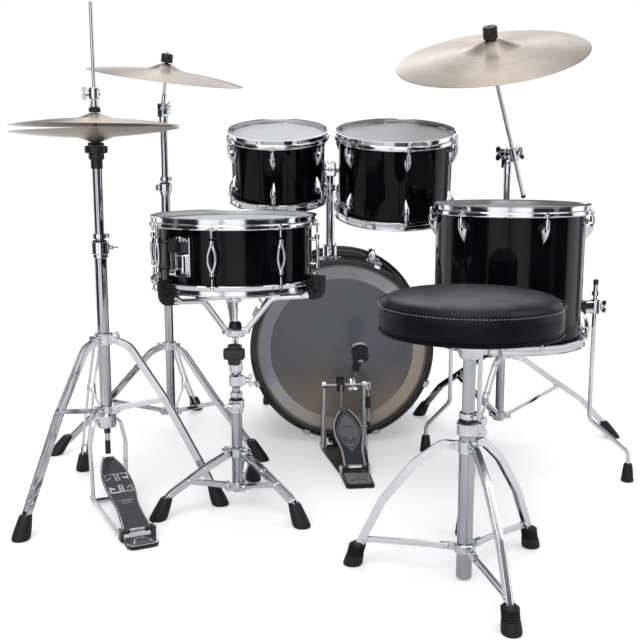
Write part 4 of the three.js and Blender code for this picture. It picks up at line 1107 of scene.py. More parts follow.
def add_ride():
    x, y = RIDE["at"]
    at = move(x, y, 0)
    base = Parts()
    tripod(base, RIDE, 12, wing=-120, key=-120)
    build("ride_stand_tripod", base, "kit", at, ["ride_stand_base"])
    pivot, turn = RIDE_ARM["pivot"], RIDE_ARM["turn"]
    tube = Parts()
    chrome = tube["chrome"]
    turned = spin(turn)
    tube["steel"].rod((0, 0, 300), (0, 0, pivot - 22), 9.5, 32)
    chrome.lathe([(0, pivot - 60), (10.4, pivot - 60), (11, pivot - 58), (11, pivot - 33), (10, pivot - 31), (0, pivot - 31)], 36)
    chrome.box((15, 17, 36), (-8.5, 0, pivot - 22), 3, turned, 3)
    chrome.rod((-17, 0, pivot), (-0.3, 0, pivot), 18, 40, 2, turned)
    chrome.wing_bolt(turned @ move(-15.5, 0, pivot) @ spin(-90, "Y"), 1.3, 1)
    build("ride_upper_tube", tube, "ride_height_tube", at, ["ride_height_tube"])
    head = move(0, 0, pivot) @ turned @ spin(RIDE_ARM["lean"], "X")
    clamp = Parts()
    chrome = clamp["chrome"]
    aside = RIDE_ARM["aside"]
    chrome.lathe([(0, 0), (16.6, 0), (18, 1.4), (18, 9), (14, 11.5), (0, 11.5)], 40, spin(90, "Y"))
    chrome.tube(RIDE_ARM["rod"] + 0.6, 13.5, -21, 21, 36, 2, move(aside, 0, 0))
    chrome.wing_bolt(move(aside + 11, 0, 2) @ spin(90, "Y"), 1.25, 3)
    build("ride_tilter_clamp", clamp, "ride_tilter", at @ head, ["ride_tilter"])
    end = head @ Vector((aside, 0, RIDE_ARM["reach"]))
    seat = leaning(end.z, RIDE_CYMBAL, (end.x, end.y))
    arm = Parts()
    chrome = arm["chrome"]
    chrome.rod((aside, 0, -RIDE_ARM["tail"]), (aside, 0, RIDE_ARM["reach"]), RIDE_ARM["rod"], 24, 1, head)
    chrome.rod((aside, 0, RIDE_ARM["reach"] - 24), (aside, 0, RIDE_ARM["reach"] - 6), 8, 28, 1.4, head)
    arm["nylon"].rod((aside, 0, -RIDE_ARM["tail"] - 4), (aside, 0, -RIDE_ARM["tail"] + 6), 6.6, 20, 1.6, head)
    chrome.rod((-13, 0, 0), (13, 0, 0), 12, 32, 1.6, seat)
    chrome.box((22, 22, 30), (aside, 0, RIDE_ARM["reach"] - 10), 6, head, 3)
    chrome.wing_bolt(seat @ move(12, 0, 0) @ spin(90, "Y"), 1.1, 1)
    rise = RIDE_ARM["seat"]
    chrome.lathe([(0, 6), (6.4, 8), (6.4, 18), (4, 22), (0, 22)], 24, seat)
    cymbal_seat(arm, rise, seat, 19, 36)
    build("ride_boom", arm, "ride_boom", at, ["ride_boom_arm"])
    crown = RIDE_CYMBAL["bow"] + RIDE_CYMBAL["bell_height"]
    sheet = Parts(bronze=cymbal(RIDE_CYMBAL))
    build("ride_cymbal_lathed", sheet, "ride_cymbal", at @ seat @ move(0, 0, rise - crown), ["ride_cymbal"])


# ---------------------------------------------------------------- hi-hat

HIHAT = {"at": (-800, 422), "tube": 14, "post": 11, "top": 640, "bottom": 194, "collar": 408, "bracket": 236, "foot": 272,
         "first": -123, "arch": [(60, 392), (143, 262), (235, 84)], "brace": (140, 262)}
HAT_PEDAL = {"turn": 25.9, "hinge": 250, "heel": 309, "toe": (8, 112), "hinge_height": 22}
HAT_ROD = {"radius": 4, "top": 1173, "bottom": 132}
CLUTCH = {"top": 985, "bottom": 924}


def board_outline(length, width, hinge, samples=16, shrink=0.0):
    """A footboard's outline from its hinge to its toe, as a waisted paddle."""
    side = []
    for k in range(samples + 1):
        s = k / samples
        if s < 0.6:
            half = hinge / 2 + (width - hinge) / 2 * (0.5 - 0.5 * math.cos(math.pi * s / 0.6)) - 5 * math.sin(math.pi * s / 0.6) ** 2
        else:
            t = (s - 0.6) / 0.4
            half = width / 2 * (1 - 0.62 * t**2.2)
        side.append((half - shrink, shrink + (length - 2 * shrink) * s))
    return [(-x, y) for x, y in side[::-1]] + side


def footboard(parts, hinge, hinge_height, toe, width, hinge_width, pattern, rim, edge):
    """A cast footboard: bright rim, grained tread, a raised plain pattern and its hinge knuckles."""
    along = (toe[0] - hinge, toe[1] - hinge_height)
    length, slope = math.hypot(*along), math.degrees(math.atan2(along[1], along[0]))
    at = move(0, hinge, hinge_height) @ spin(slope, "X")
    parts["lacquer"].slab(board_outline(length, width, hinge_width), 5.4, 1.6, at @ move(0, 0, -2))
    parts[edge].slab(board_outline(length, width, hinge_width, shrink=1.2), 1.2, 0.4, at @ move(0, 0, 2.8))
    parts["charcoal"].slab(board_outline(length, width, hinge_width, shrink=1.2 + rim), 1.2, 0.4, at @ move(0, 0, 3.4))
    for k in range(6):
        low = length * (0.1 + 0.035 * k)
        parts["charcoal"].rod((-hinge_width * 0.3, low, 4.2), (hinge_width * 0.3, low, 4.2), 0.9, 8, 0.3, at)
    pattern(parts, at, length, width)
    for side in (-1, 1):
        parts["charcoal"].rod((side * hinge_width / 2, 0, 0), (side * hinge_width * 0.28, 0, 0), 6, 24, 1, at)
    parts["satin"].rod((-hinge_width * 0.28, 0, 0), (hinge_width * 0.28, 0, 0), 4, 18, 0.8, at)
    return at, length


def diamond(parts, at, length, width):
    """A pointed inset plate with two chevrons."""
    reach, half, middle = length * 0.36, width * 0.41, length * 0.6
    shape = [(0, -reach), (half * 0.62, -reach * 0.58), (half * 0.95, -reach * 0.1), (half * 0.95, reach * 0.1), (half * 0.62, reach * 0.58),
             (0, reach), (-half * 0.62, reach * 0.58), (-half * 0.95, reach * 0.1), (-half * 0.95, -reach * 0.1), (-half * 0.62, -reach * 0.58)]
    parts["pewter"].slab([(x, middle + y) for x, y in shape], 1.6, 0.5, at @ move(0, 0, 4))
    rim = [Vector((x * 0.88, middle + y * 0.88, 5.8)) for x, y in shape]
    parts["lacquer"].sweep([*rim, rim[0]], flat(2, 1.2, 0.4), Z, at)
    for drop in (0.3, 0.42):
        low = [(-half * 0.5, middle - reach * drop, 5.8), (0, middle - reach * (drop + 0.22), 5.8), (half * 0.5, middle - reach * drop, 5.8)]
        parts["lacquer"].sweep(low, flat(2.6, 1.2, 0.4), Z, at)
    parts["charcoal"].box((half * 0.8, 3, 1.2), (0, middle + reach * 0.2, 5.8), 0.4, at)


def bars(parts, at, length, width):
    """Bold angular strokes on the tread, with a thin line below them."""
    middle = length * 0.6
    for side in (-1, 1):
        for way in (-1, 1):
            inner, outer = side * width * 0.05, side * width * 0.36
            stroke = [(inner, middle + way * 8, 4.9), (inner, middle + way * 34, 4.9), (outer, middle + way * 34, 4.9),
                      (outer, middle + way * 14, 4.9), (side * width * 0.2, middle + way * 22, 4.9)]
            parts["satin"].sweep(stroke, flat(1.2, 6, 0.4), X, at)
    parts["satin"].box((width * 0.5, 1.4, 1), (0, length * 0.36, 4.8), 0.3, at)
    parts["satin"].box((width * 0.32, 1.2, 1), (0, length * 0.33, 4.8), 0.3, at)


def add_hihat():
    x, y = HIHAT["at"]
    at = move(x, y, 0)
    base = Parts()
    tripod(base, HIHAT, 14, 32, 30, wing=70, key=20)
    chrome, satin = base["chrome"], base["satin"]
    turned = spin(HAT_PEDAL["turn"])
    hinge, heel = -HAT_PEDAL["hinge"], -HAT_PEDAL["heel"]
    chrome.lathe([(11.6, 192), (21, 192), (23, 196), (23, 222), (19, 227), (11.6, 227), (11.6, 192)], 40)
    for side in (-1, 1):
        yoke = [(side * 12, 0, 214), (side * 32, 0, 204), (side * 43, 0, 150), (side * 41, 0, 60), (side * 40, 0, 9)]
        satin.sweep(filleted(yoke, 34), flat(6.4, 22, 2.4), Y, turned)
        chrome.rod((side * 40, 0, 16), (side * 37, hinge + 4, 12), 3.4, 16, 0.8, turned)
        chrome.bolt(turned @ move(side * 43, 0, 18) @ spin(side * 90, "Y"), 7, 4)
        base["charcoal"].box((7, 24, 26), (side * 36, hinge, 15), 2.6, turned, 3)
        chrome.bolt(turned @ move(side * 40.4, hinge, 22) @ spin(side * 90, "Y"), 4.5, 2.6)
    satin.rod((-44, 0, 12), (44, 0, 12), 5, 20, 1, turned)
    satin.box((66, 16, 7), (0, 0, 9), 2, turned, 3)
    plate = [(-40, hinge - 6), (-41, heel + 14), (-34, heel + 2), (-22, heel - 1), (22, heel - 1), (34, heel + 2), (41, heel + 14),
             (40, hinge - 6)]
    plate = [(px * 0.86, py) for px, py in plate]
    base["lacquer"].slab(plate, 9.4, 1.6, turned)
    for scale, look, top in ((0.96, "satin", 8.8), (0.9, "charcoal", 9.4)):
        inner = [(px * scale, (hinge + heel) / 2 + (py - (hinge + heel) / 2) * scale) for px, py in plate]
        base[look].slab(inner, 1.2, 0.5, turned @ move(0, 0, top))
    arch = [(-20, heel + 9, 10.8), (-14, hinge - 26, 10.8), (0, hinge - 16, 10.8), (14, hinge - 26, 10.8), (20, heel + 9, 10.8)]
    satin.sweep(filleted(arch, 20), flat(2, 1.4, 0.4), Z, turned)
    build("hihat_stand_tripod", base, "kit", at, ["hihat_stand_base"])
    board = Parts()
    place, length = footboard(board, hinge, HAT_PEDAL["hinge_height"], HAT_PEDAL["toe"], 70, 62, bars, 1.8, "satin")
    board["chrome"].box((26, 14, 8), (0, length - 8, 5), 2, place, 3)
    build("hihat_footboard_cast", board, "hihat_footboard", at @ turned, ["hihat_footboard"])
    seat = HAT["edge"] - HAT["gap"] - HAT["bow"] - HAT["bell_height"]
    tube = Parts()
    radius = HIHAT["post"]
    bore = HAT_ROD["radius"] + 0.5
    tube["steel"].lathe([(bore, 330), (radius, 330), (radius, seat - 60), (bore, seat - 60), (bore, 330)], 40)
    tube["nylon"].lathe([(bore, seat - 60), (12.5, seat - 60), (13.4, seat - 58), (13.4, seat - 40), (16.6, seat - 38.5), (17.5, seat - 37),
                         (17.5, seat - 25.5), (24, seat - 24.5), (26, seat - 22), (26, seat - 10), (24, seat - 8), (bore, seat - 8),
                         (bore, seat - 60)], 48)
    tube["felt"].lathe([(bore, seat - 7.6), (18, seat - 7.6), (18.6, seat - 5), (17, seat - 0.6), (bore, seat - 0.4), (bore, seat - 7.6)], 40)
    build("hihat_upper", tube, "hihat_upper_tube", at, ["hihat_upper_tube"])
    pull = Parts()
    bottom, top = HAT_ROD["bottom"], HAT_ROD["top"]
    pull["chrome"].rod((0, 0, bottom + 34), (0, 0, top), HAT_ROD["radius"], 20, 1.4)
    pull["nylon"].rod((0, 0, bottom + 44), (0, 0, bottom + 56), 8, 6, 0.8)
    pull["chrome"].rod((0, 0, bottom + 26), (0, 0, bottom + 45), 6, 20, 1)
    pull["nylon"].sweep([(0, -1, bottom - 8), (0, 0, bottom + 10), (0, 0, bottom + 28)], flat(3, 13, 1), X, turned)
    pull["chrome"].rod((0, 0, bottom + 56), (0, 0, bottom + 62), 8, 24, 1)
    build("hihat_rod", pull, "hihat_pull_rod", at, ["hihat_pull_rod"])
    sheet = Parts(bronze=cymbal(HAT))
    build("hihat_top_lathed", sheet, "hihat_clutch", at @ move(0, 0, HAT["edge"]), ["hihat_top_cymbal"])
    lower = Parts(bronze=cymbal(HAT))
    under = move(0, 0, HAT["edge"] - HAT["gap"]) @ spin(-HAT["lean"], "Y") @ spin(180, "X")
    build("hihat_bottom_lathed", lower, "hihat_upper_tube", at @ under, ["hihat_bottom_cymbal"])
    crown = HAT["edge"] + HAT["bow"] + HAT["bell_height"] + HAT["sheet"]
    clutch = Parts()
    chrome = clutch["chrome"]
    chrome.tube(bore, 6, CLUTCH["bottom"], CLUTCH["top"], 28)
    clutch["felt"].tube(6, 13, crown + 0.4, crown + 11, 36, 1.4)
    for low, size in ((crown + 11.4, 10), (crown + 19, 9)):
        chrome.lathe([(6, low), (size - 1, low), (size, low + 1), (size, low + 5.4), (size - 1, low + 6.4), (6, low + 6.4), (6, low)], 28)
    chrome.lathe([(6, CLUTCH["top"] - 26), (10, CLUTCH["top"] - 26), (11.4, CLUTCH["top"] - 23), (11.4, CLUTCH["top"] - 2),
                  (10, CLUTCH["top"]), (6, CLUTCH["top"]), (6, CLUTCH["top"] - 26)], 36)
    chrome.wing_bolt(move(-11, 0, CLUTCH["top"] - 12) @ spin(-90, "Y"), 1.05, 4)
    chrome.bolt(move(11, 0, CLUTCH["top"] - 12) @ spin(90, "Y"), 5, 3)
    build("hihat_clutch_body", clutch, "hihat_clutch", at, ["hihat_clutch"])


# ---------------------------------------------------------------- throne

THRONE = {"tube": 15.5, "post": 12.5, "top": 326, "bottom": 4, "leg": (27, 275), "bracket": 66, "foot": 231, "first": -77}
THRONE_LEG = {"arch": [(48, 277), (105, 230), (170, 144), (207, 66)], "end": (222, 30), "brace": (205, 58)}
SEAT = {"radius": 178, "bottom": 505, "edge": 561, "crown": 30}
SEAT_POST = {"bottom": 200, "top": 490, "hub": 27}


def add_throne():
    tube, top = THRONE["tube"], THRONE["top"]
    base = Parts()
    chrome = base["chrome"]
    inner = THRONE["post"] + 0.5
    base["steel"].lathe([(inner, 4), (tube - 1.5, 4), (tube, 5.5), (tube, top - 4), (inner, top - 4), (inner, 4)], 48)
    leg_r, leg_z = THRONE["leg"]
    chrome.tube(tube, tube + 2.2, leg_z - 13, leg_z + 13, 48, 0.8)
    memory_lock(chrome, Matrix.Identity(4), THRONE["post"], top + 6, -60)
    chrome.tube(inner, 21, top - 28, top - 1, 48, 2)
    chrome.tube(inner, 23, top - 6, top - 2, 48, 1)
    base["nylon"].tube(inner, 19, top - 1, top + 2, 40, 0.8)
    chrome.wing_bolt(spin(18) @ move(20, 0, top - 15) @ spin(90, "Y"), 1.3, 3)
    chrome.box((14, 16, 22), (22, 0, top - 15), 4, spin(18), 3)
    angles = {"front": THRONE["first"], "right": THRONE["first"] + 120, "left": THRONE["first"] + 240}
    for angle in angles.values():
        chrome.box((24, 5.6, 20), (24, 0, leg_z), 2.4, spin(angle), 3)
    build("throne_lower_tube", base, "kit", None, ["throne_base_tube"])
    collar = Parts()
    level = THRONE["bracket"]
    collar["chrome"].tube(tube + 0.6, 21, level - 10, level + 10, 48, 2)
    for angle in angles.values():
        collar["chrome"].box((22, 5.6, 17), (26, 0, level), 2.4, spin(angle), 3)
    build("throne_collar", collar, "throne_brace_collar", None, ["throne_brace_collar"])
    for side, angle in angles.items():
        at = spin(angle)
        leg = Parts()
        satin = leg["satin"]
        path = [(leg_r - 1.5, leg_z), *THRONE_LEG["arch"], THRONE_LEG["end"]]
        for sign in (-1, 1):
            satin.bar(path, 17, 2.2, sign * 5.4, 55, None, 1)
        web = [(r + 3.2, z + 5.6) for r, z in THRONE_LEG["arch"]]
        satin.sweep(filleted([(r, 0, z) for r, z in [*web, (226, 34)]], 55), flat(2.2, 10, 0.6), Y)
        chrome = leg["chrome"]
        rivet(chrome, leg_r + 2, leg_z, 6.8, Matrix.Identity(4))
        rivet(chrome, *THRONE_LEG["brace"], 6.8, Matrix.Identity(4))
        boot(leg["rubber"], THRONE["foot"], 12, 20, 50, None, 5)
        build("throne_leg_channel_" + side, leg, "throne_leg_" + side, at, ["throne_leg_" + side])
        brace = Parts()
        satin = brace["satin"]
        start = (leg_r + 5, level)
        for sign in (-1, 1):
            satin.bar([start, (leg_r + 30, level - 1)], 13, 2.2, sign * 5.2, 0)
        satin.bar([(leg_r + 22, level - 1), THRONE_LEG["brace"]], 12, 3, 0, 0)
        for sign in (-1, 1):
            satin.bar([(leg_r + 22, level - 1 + sign * 5.2), (THRONE_LEG["brace"][0], THRONE_LEG["brace"][1] + sign * 5.2)], 2, 7, 0, 0)
        rivet(brace["chrome"], leg_r + 9, level, 6.4, Matrix.Identity(4))
        build("throne_brace_strip_" + side, brace, "throne_brace_" + side, at, ["throne_brace_" + side])
    post = Parts()
    chrome = post["chrome"]
    end, hub = SEAT_POST["top"], SEAT_POST["hub"]
    post["steel"].rod((0, 0, SEAT_POST["bottom"]), (0, 0, end - 20), THRONE["post"], 40)
    chrome.lathe([(0, end - 40), (16, end - 40), (19, end - 37), (22, end - 30), (hub, end - 14), (hub, end - 5), (hub - 3, end), (0, end)], 48)
    build("throne_post", post, "throne_seat_post", None, ["throne_seat_post"])


def soften(pad, steps=20, cap=1.4):
    """Swells a pad as stuffed fabric, with cloth under pressure, and keeps each point near its start."""
    scene = bpy.context.scene
    start = [v.co.copy() for v in pad.data.vertices]
    cloth = pad.modifiers.new("cloth", "CLOTH")
    cloth.settings.use_pressure = True
    cloth.settings.uniform_pressure_force = 4
    cloth.settings.effector_weights.gravity = 0
    cloth.settings.tension_stiffness = 25
    for number in range(1, steps + 1):
        scene.frame_set(number)
    swollen = pad.evaluated_get(bpy.context.evaluated_depsgraph_get())
    ends_at = [v.co.copy() for v in swollen.data.vertices]
    pad.modifiers.remove(cloth)
    for vertex, before, after in zip(pad.data.vertices, start, ends_at):
        shift = after - before
        shift.length = min(shift.length, cap * MM)
        vertex.co = before + shift
    scene.frame_set(1)
    even = bmesh.new()
    even.from_mesh(pad.data)
    for _ in range(6):
        bmesh.ops.smooth_vert(even, verts=even.verts, factor=0.5, use_axis_x=True, use_axis_y=True, use_axis_z=True)
    even.to_mesh(pad.data)
    even.free()


def seat_profile(inset=0.0):
    radius, bottom, edge, crown = SEAT["radius"], SEAT["bottom"], SEAT["edge"], SEAT["crown"]
    r = radius - inset
    return [(0, bottom), (r - 14, bottom), (r - 5, bottom), (r - 2, bottom + 2), (r - 0.6, bottom + 6), (r, bottom + 22), (r, edge - 18), (r - 1.5, edge - 6),
            (r - 5, edge), (r - 7.5, edge + 3.5), (r - 14, edge + 8.5), (r - 30, edge + 13.5), (r * 0.62, edge + crown * 0.62),
            (r * 0.36, edge + crown * 0.74), (r * 0.15, edge + crown * 0.78), (0, edge + crown * 0.78)]


def add_seat():
    pad = build("throne_cushion", Parts(vinyl=Form().lathe(seat_profile(1.6), 96)), "throne_seat", None, ["throne_seat"], 80)[0]
    remesh = pad.modifiers.new("remesh", "REMESH")
    remesh.mode, remesh.voxel_size, remesh.use_smooth_shade = "VOXEL", 0.005, True
    pad.data = bpy.data.meshes.new_from_object(pad.evaluated_get(bpy.context.evaluated_depsgraph_get()))
    pad.modifiers.clear()
    soften(pad)
    draw_seams(pad)
    smooth = pad.modifiers.new("smooth", "SUBSURF")
    smooth.levels = smooth.render_levels = 1
    pad.data.shade_smooth()
    radius, edge = SEAT["radius"], SEAT["edge"]
    trim = Parts()
    welt = [(radius - 6, SEAT["bottom"] - 0.4), (radius - 1.8, SEAT["bottom"] - 0.4), (radius - 1.2, SEAT["bottom"] + 0.4),
            (radius - 1.2, SEAT["bottom"] + 3.4), (radius - 6, SEAT["bottom"] + 4.4), (radius - 6, SEAT["bottom"] - 0.4)]
    trim["vinyl"].lathe(welt, 160)
    ring = [(radius - 4.6, edge + 1.2), (radius - 3.0, edge + 0.2), (radius - 1.4, edge + 1.2), (radius - 3.0, edge + 2.8), (radius - 4.6, edge + 1.2)]
    trim["vinyl"].lathe(ring, 160)
    count = 176
    for i in range(count):
        at = spin(360 * i / count)
        trim["thread"].rod((radius - 0.9, -1.5, edge - 4.6), (radius - 0.9, 1.5, edge - 4.6), 0.45, 6, 0.2, at)
    build("throne_seat_trim", trim, "throne_seat", None)
    under = Parts()
    under["charcoal"].lathe([(0, SEAT["bottom"] - 3), (radius - 22, SEAT["bottom"] - 3), (radius - 18, SEAT["bottom"] - 0.4), (0, SEAT["bottom"] - 0.4)], 96)
    under["chrome"].lathe([(0, SEAT_POST["top"] + 0.4), (58, SEAT_POST["top"] + 0.4), (62, SEAT_POST["top"] + 4), (62, SEAT["bottom"] - 3), (0, SEAT["bottom"] - 3)], 64)
    for i in range(4):
        under["chrome"].bolt(spin(45 + 90 * i) @ move(48, 0, SEAT_POST["top"] + 0.4) @ spin(180, "X"), 4.6, 3)
    build("throne_seat_plate", under, "throne_seat", None)


def draw_seams(pad):
    """Pulls the cover in along the seam and lets it pucker a little beside it."""
    random.seed(7)
    waves = [(random.uniform(0, TURN), random.randint(17, 60), random.uniform(0.2, 0.6)) for _ in range(8)]
    seam_r, seam_z = SEAT["radius"] - 3, SEAT["edge"] + 1
    for vertex in pad.data.vertices:
        x, y, z = (c / MM for c in vertex.co)
        r = math.hypot(x, y)
        if r < 1:
            continue
        near = math.exp(-((r - seam_r) ** 2 + (z - seam_z) ** 2) / 30)
        beside = math.exp(-((r - seam_r) ** 2 + (z - seam_z) ** 2) / 500)
        angle = math.atan2(y, x)
        pucker = sum(size * math.sin(count * angle + start) for start, count, size in waves) * 0.4
        push = -1.3 * near + 0.5 * beside * pucker
        out = Vector((x / r, y / r, 0.5)).normalized()
        vertex.co += out * push * MM


# ---------------------------------------------------------------- kick pedal

KICK = {"at": (-220, 858), "turn": 6, "axle": 190, "width": 115, "hinge": 621, "heel": 516, "plate": 74}
KICK_BOARD = {"toe": (842, 116), "hinge_height": 22, "width": 86}
BEATER = {"reach": 190, "lean": 50, "head": 24, "offset": 24}


def helix(radius, low, high, turns, x=0, y=0):
    steps = turns * 10
    return [(x + radius * math.cos(TURN * turns * k / steps), y + radius * math.sin(TURN * turns * k / steps), low + (high - low) * k / steps)
            for k in range(steps + 1)]


def add_kick_pedal():
    x, toe = KICK["at"]
    at = move(x, toe, 0) @ spin(KICK["turn"]) @ move(0, -toe, 0)
    half, axle, hinge, heel = KICK["width"] / 2, KICK["axle"], KICK["hinge"], KICK["heel"]
    front = BASS["at"][1]
    base = Parts()
    satin, chrome, rubber, charcoal = base["satin"], base["chrome"], base["lacquer"], base["charcoal"]
    wide, narrow = half + 7, KICK["plate"] / 2
    outline = [(-narrow + 5, heel), (narrow - 5, heel), (narrow, heel + 7), (narrow + 3, hinge), (wide, toe - 26), (wide, toe + 18), (wide - 4, toe + 22),
               (4 - wide, toe + 22), (-wide, toe + 18), (-wide, toe - 26), (-narrow - 3, hinge), (-narrow, heel + 7)]
    rubber.slab(outline, 5.2, 1.2, move(0, 0, 0.5))
    plate = [(-narrow + 7, heel + 3), (narrow - 7, heel + 3), (narrow - 1, heel + 11), (narrow - 1, hinge - 12), (-narrow + 1, hinge - 12), (-narrow + 1, heel + 11)]
    rubber.slab(plate, 5.2, 1.8, move(0, 0, 5.8))
    base["pewter"].slab([(px * 0.9, heel + 50 + (py - heel - 50) * 0.9) for px, py in plate], 1.2, 0.5, move(0, 0, 10.8))
    peak = [(-22, heel + 26, 12), (0, heel + 46, 12), (22, heel + 26, 12)]
    charcoal.sweep(filleted(peak, 4), flat(3, 1.4, 0.4), Z)
    satin.box((60, front - toe + 10, 5), (0, (front + toe) / 2 + 4, 3.2), 1.6, None, 3)
    satin.box((KICK["plate"], 40, 4.5), (0, front + 8, 3), 1.4, None, 3)
    for side in (-1, 1):
        satin.box((7, 22, 26), (side * 37, hinge, 16), 2.6, None, 3)
        chrome.bolt(move(side * 40.4, hinge, 22) @ spin(side * 90, "Y"), 4.5, 2.6)
        post = [(side * (half + 1), toe - 2, 6), (side * (half + 1), toe - 1, 60), (side * half, toe, 120), (side * half, toe, axle - 6)]
        base["cast"].sweep(filleted(post, 60), flat(21, 11, 3.4), X, taper=lambda t: 1.3 - 0.5 * t)
        chrome.tube(6.1, 12, -7, 7, 32, 1.6, move(side * half, toe, axle) @ spin(90, "Y"))
        satin.box((20, 30, 12), (side * (half + 1), toe, 11), 3, None, 3)
        chrome.bolt(move(side * (half + 1), toe - 9, 17), 4, 3)
    spring_x = half + 14
    chrome.sweep(helix(4.6, 112, 158, 11, spring_x, toe + 4), circle(1.0, 6), X)
    chrome.rod((spring_x, toe + 4, 158), (spring_x, toe + 4, axle - 22), 1.8, 10, 0.4)
    chrome.rod((spring_x, toe + 4, 60), (spring_x, toe + 4, 112), 2.4, 12, 0.4)
    base["nylon"].rod((spring_x, toe + 4, 56), (spring_x, toe + 4, 76), 6.4, 24, 1.6)
    base["nylon"].rod((spring_x, toe + 4, 118), (spring_x, toe + 4, 150), 7, 28, 1.6)
    chrome.box((18, 12, 5), (half + 8, toe + 4, 64), 1.4, None)
    build("kick_pedal_frame", base, "kit", at, ["kick_frame"])
    board = Parts()
    place, length = footboard(board, hinge, KICK_BOARD["hinge_height"], KICK_BOARD["toe"], KICK_BOARD["width"], 62, diamond, 4.4, "silver")
    board["chrome"].box((16, 12, 8), (0, length - 6, 5), 2, place, 3)
    build("kick_footboard_cast", board, "kick_footboard", at, ["kick_footboard"])
    head = move(0, toe, axle)
    beater = Parts()
    chrome = beater["chrome"]
    chrome.rod((-half - 5, 0, 0), (half + 5, 0, 0), 5.5, 6, 0.6, head)
    chrome.box((14, 12, 24), (half + 12, 0, -6), 3, head, 3)
    offset = BEATER["offset"]
    beater["nylon"].lathe([(7, -20), (20, -20), (22, -18), (22, -16), (19.6, -14), (19.6, -8), (22, -6), (22, -2), (20, 0), (7, 0), (7, -20)], 48,
                          head @ spin(90, "Y"))
    chrome.rod((-9, 0, 0), (2, 0, 0), 10, 32, 1.2, head @ move(2, 0, 0))
    shaft = head @ spin(BEATER["lean"], "X") @ move(offset, 0, 0)
    reach, size = BEATER["reach"], BEATER["head"]
    chrome.box((20, 24, 26), (0, 0, 4), 5, shaft, 3)
    chrome.rod((0, 0, 6), (0, 0, reach), 4, 20, 0.8, shaft)
    chrome.wing_bolt(shaft @ move(0, -11, 8) @ spin(90, "X"), 0.8, 4)
    beater["nylon"].rod((0, 0, reach * 0.5), (0, 0, reach * 0.7), 12, 32, 2, shaft)
    head_at = shaft @ move(0, 0, reach)
    beater["felt"].lathe([(0, -25), (15, -25), (20, -22), (22, -16), (23, 4), (21, 13), (0, 13)], 44, head_at @ spin(-90, "X"))
    beater["white_felt"].lathe([(0, 13.2), (20.6, 13.2), (20, 19), (15, 23), (0, 24)], 44, head_at @ spin(-90, "X"))
    chrome.rod((0, -28, 0), (0, -24, 0), 8, 24, 1, head_at)
    build("kick_beater_head", beater, "kick_beater", at, ["kick_beater"])
    add_chain(at, head, place, length)


def add_chain(at, head, place, length):
    """The chain from the cam to the footboard's toe."""
    toe = place @ Vector((0, length - 6, 8))
    start = head @ Vector((-10, -21, 0))
    chain = Parts()
    links = 14
    for i in range(links):
        a = start.lerp(Vector((-10, toe.y, toe.z + 2)), i / links)
        b = start.lerp(Vector((-10, toe.y, toe.z + 2)), (i + 1) / links)
        mid = (a + b) / 2
        wide = 3.4 if i % 2 else 2.3
        for side in (-1, 1):
            chain["nylon"].box((0.9, 4.2, (b - a).length * 1.25), (mid.x + side * wide, mid.y, mid.z), 0.4)
        chain["cast"].rod((a.x - 4.2, a.y, a.z), (a.x + 4.2, a.y, a.z), 1.5, 10, 0.3)
    build("kick_chain", chain, "kit", at)


add_bass_drum()
add_spurs()
add_tom_holder()
for prefix, drum, body, look in (("small_tom", SMALL_TOM, "small_tom", "white_film"), ("large_tom", LARGE_TOM, "large_tom", "grey_film"),
                                 ("floor_tom", FLOOR_TOM, "kit", "grey_film"), ("snare", SNARE, "snare", "coated")):
    fittings = add_drum(prefix, drum, body, look, tubes=prefix == "snare")
    if prefix == "small_tom":
        tom_bracket(fittings["chrome"], drum, -330, 72)
    elif prefix == "large_tom":
        tom_bracket(fittings["chrome"], drum, -172, 84)
    elif prefix == "floor_tom":
        add_floor_tom_fittings(fittings)
    else:
        add_snare_fittings(fittings)
    build(prefix + "_fittings", fittings, body, frame_of(drum))
add_floor_legs()
add_throw_off()
add_snare_stand()
add_crash()
add_ride()
add_hihat()
add_throne()
add_seat()
add_kick_pedal()

# ---------------------------------------------------------------- camera, floor and light


def add_camera():
    data = bpy.data.cameras.new("camera")
    data.sensor_width = 36
    data.lens = 53.83
    camera = bpy.data.objects.new("camera", data)
    bpy.context.scene.collection.objects.link(camera)
    camera.location = (POST.x - 0.288, POST.y - 1.801, 0.8405)
    camera.rotation_euler = (math.radians(90 - 9.92), 0, 0)
    bpy.context.scene.camera = camera


def add_floor(reach=3.0, sides=96):
    """A pale round floor. Past its edge the room's grey panels show in the metal, as in a real studio."""
    mesh = bpy.data.meshes.new("floor")
    mesh.from_pydata([(*polar(reach, 360 * i / sides), 0) for i in range(sides)], [], [list(range(sides))])
    paint = Nodes("floor_paint")
    pale = paint.ramp(paint.noise(3, 3), (0.3, (0.93, 0.93, 0.93)), (0.7, (0.95, 0.95, 0.95)))
    shade = paint.new("ShaderNodeMix", data_type="RGBA")
    path = paint.new("ShaderNodeLightPath")
    mirrored = paint.math("MULTIPLY", path.outputs["Is Glossy Ray"], 0.75)
    paint.join(paint.math("MAXIMUM", path.outputs["Is Camera Ray"], mirrored), shade.inputs["Factor"])
    shade.inputs["A"].default_value = (0.4, 0.4, 0.41, 1)
    paint.join(pale, shade.inputs["B"])
    paint.set(Base_Color=shade.outputs["Result"], Roughness=0.7, Emission_Color=(1.0, 1.0, 1.0))
    paint.set(Emission_Strength=paint.span(path.outputs["Is Camera Ray"], 0.0, 0.3))
    mesh.materials.append(paint.material)
    floor = bpy.data.objects.new("floor", mesh)
    bpy.context.scene.collection.objects.link(floor)


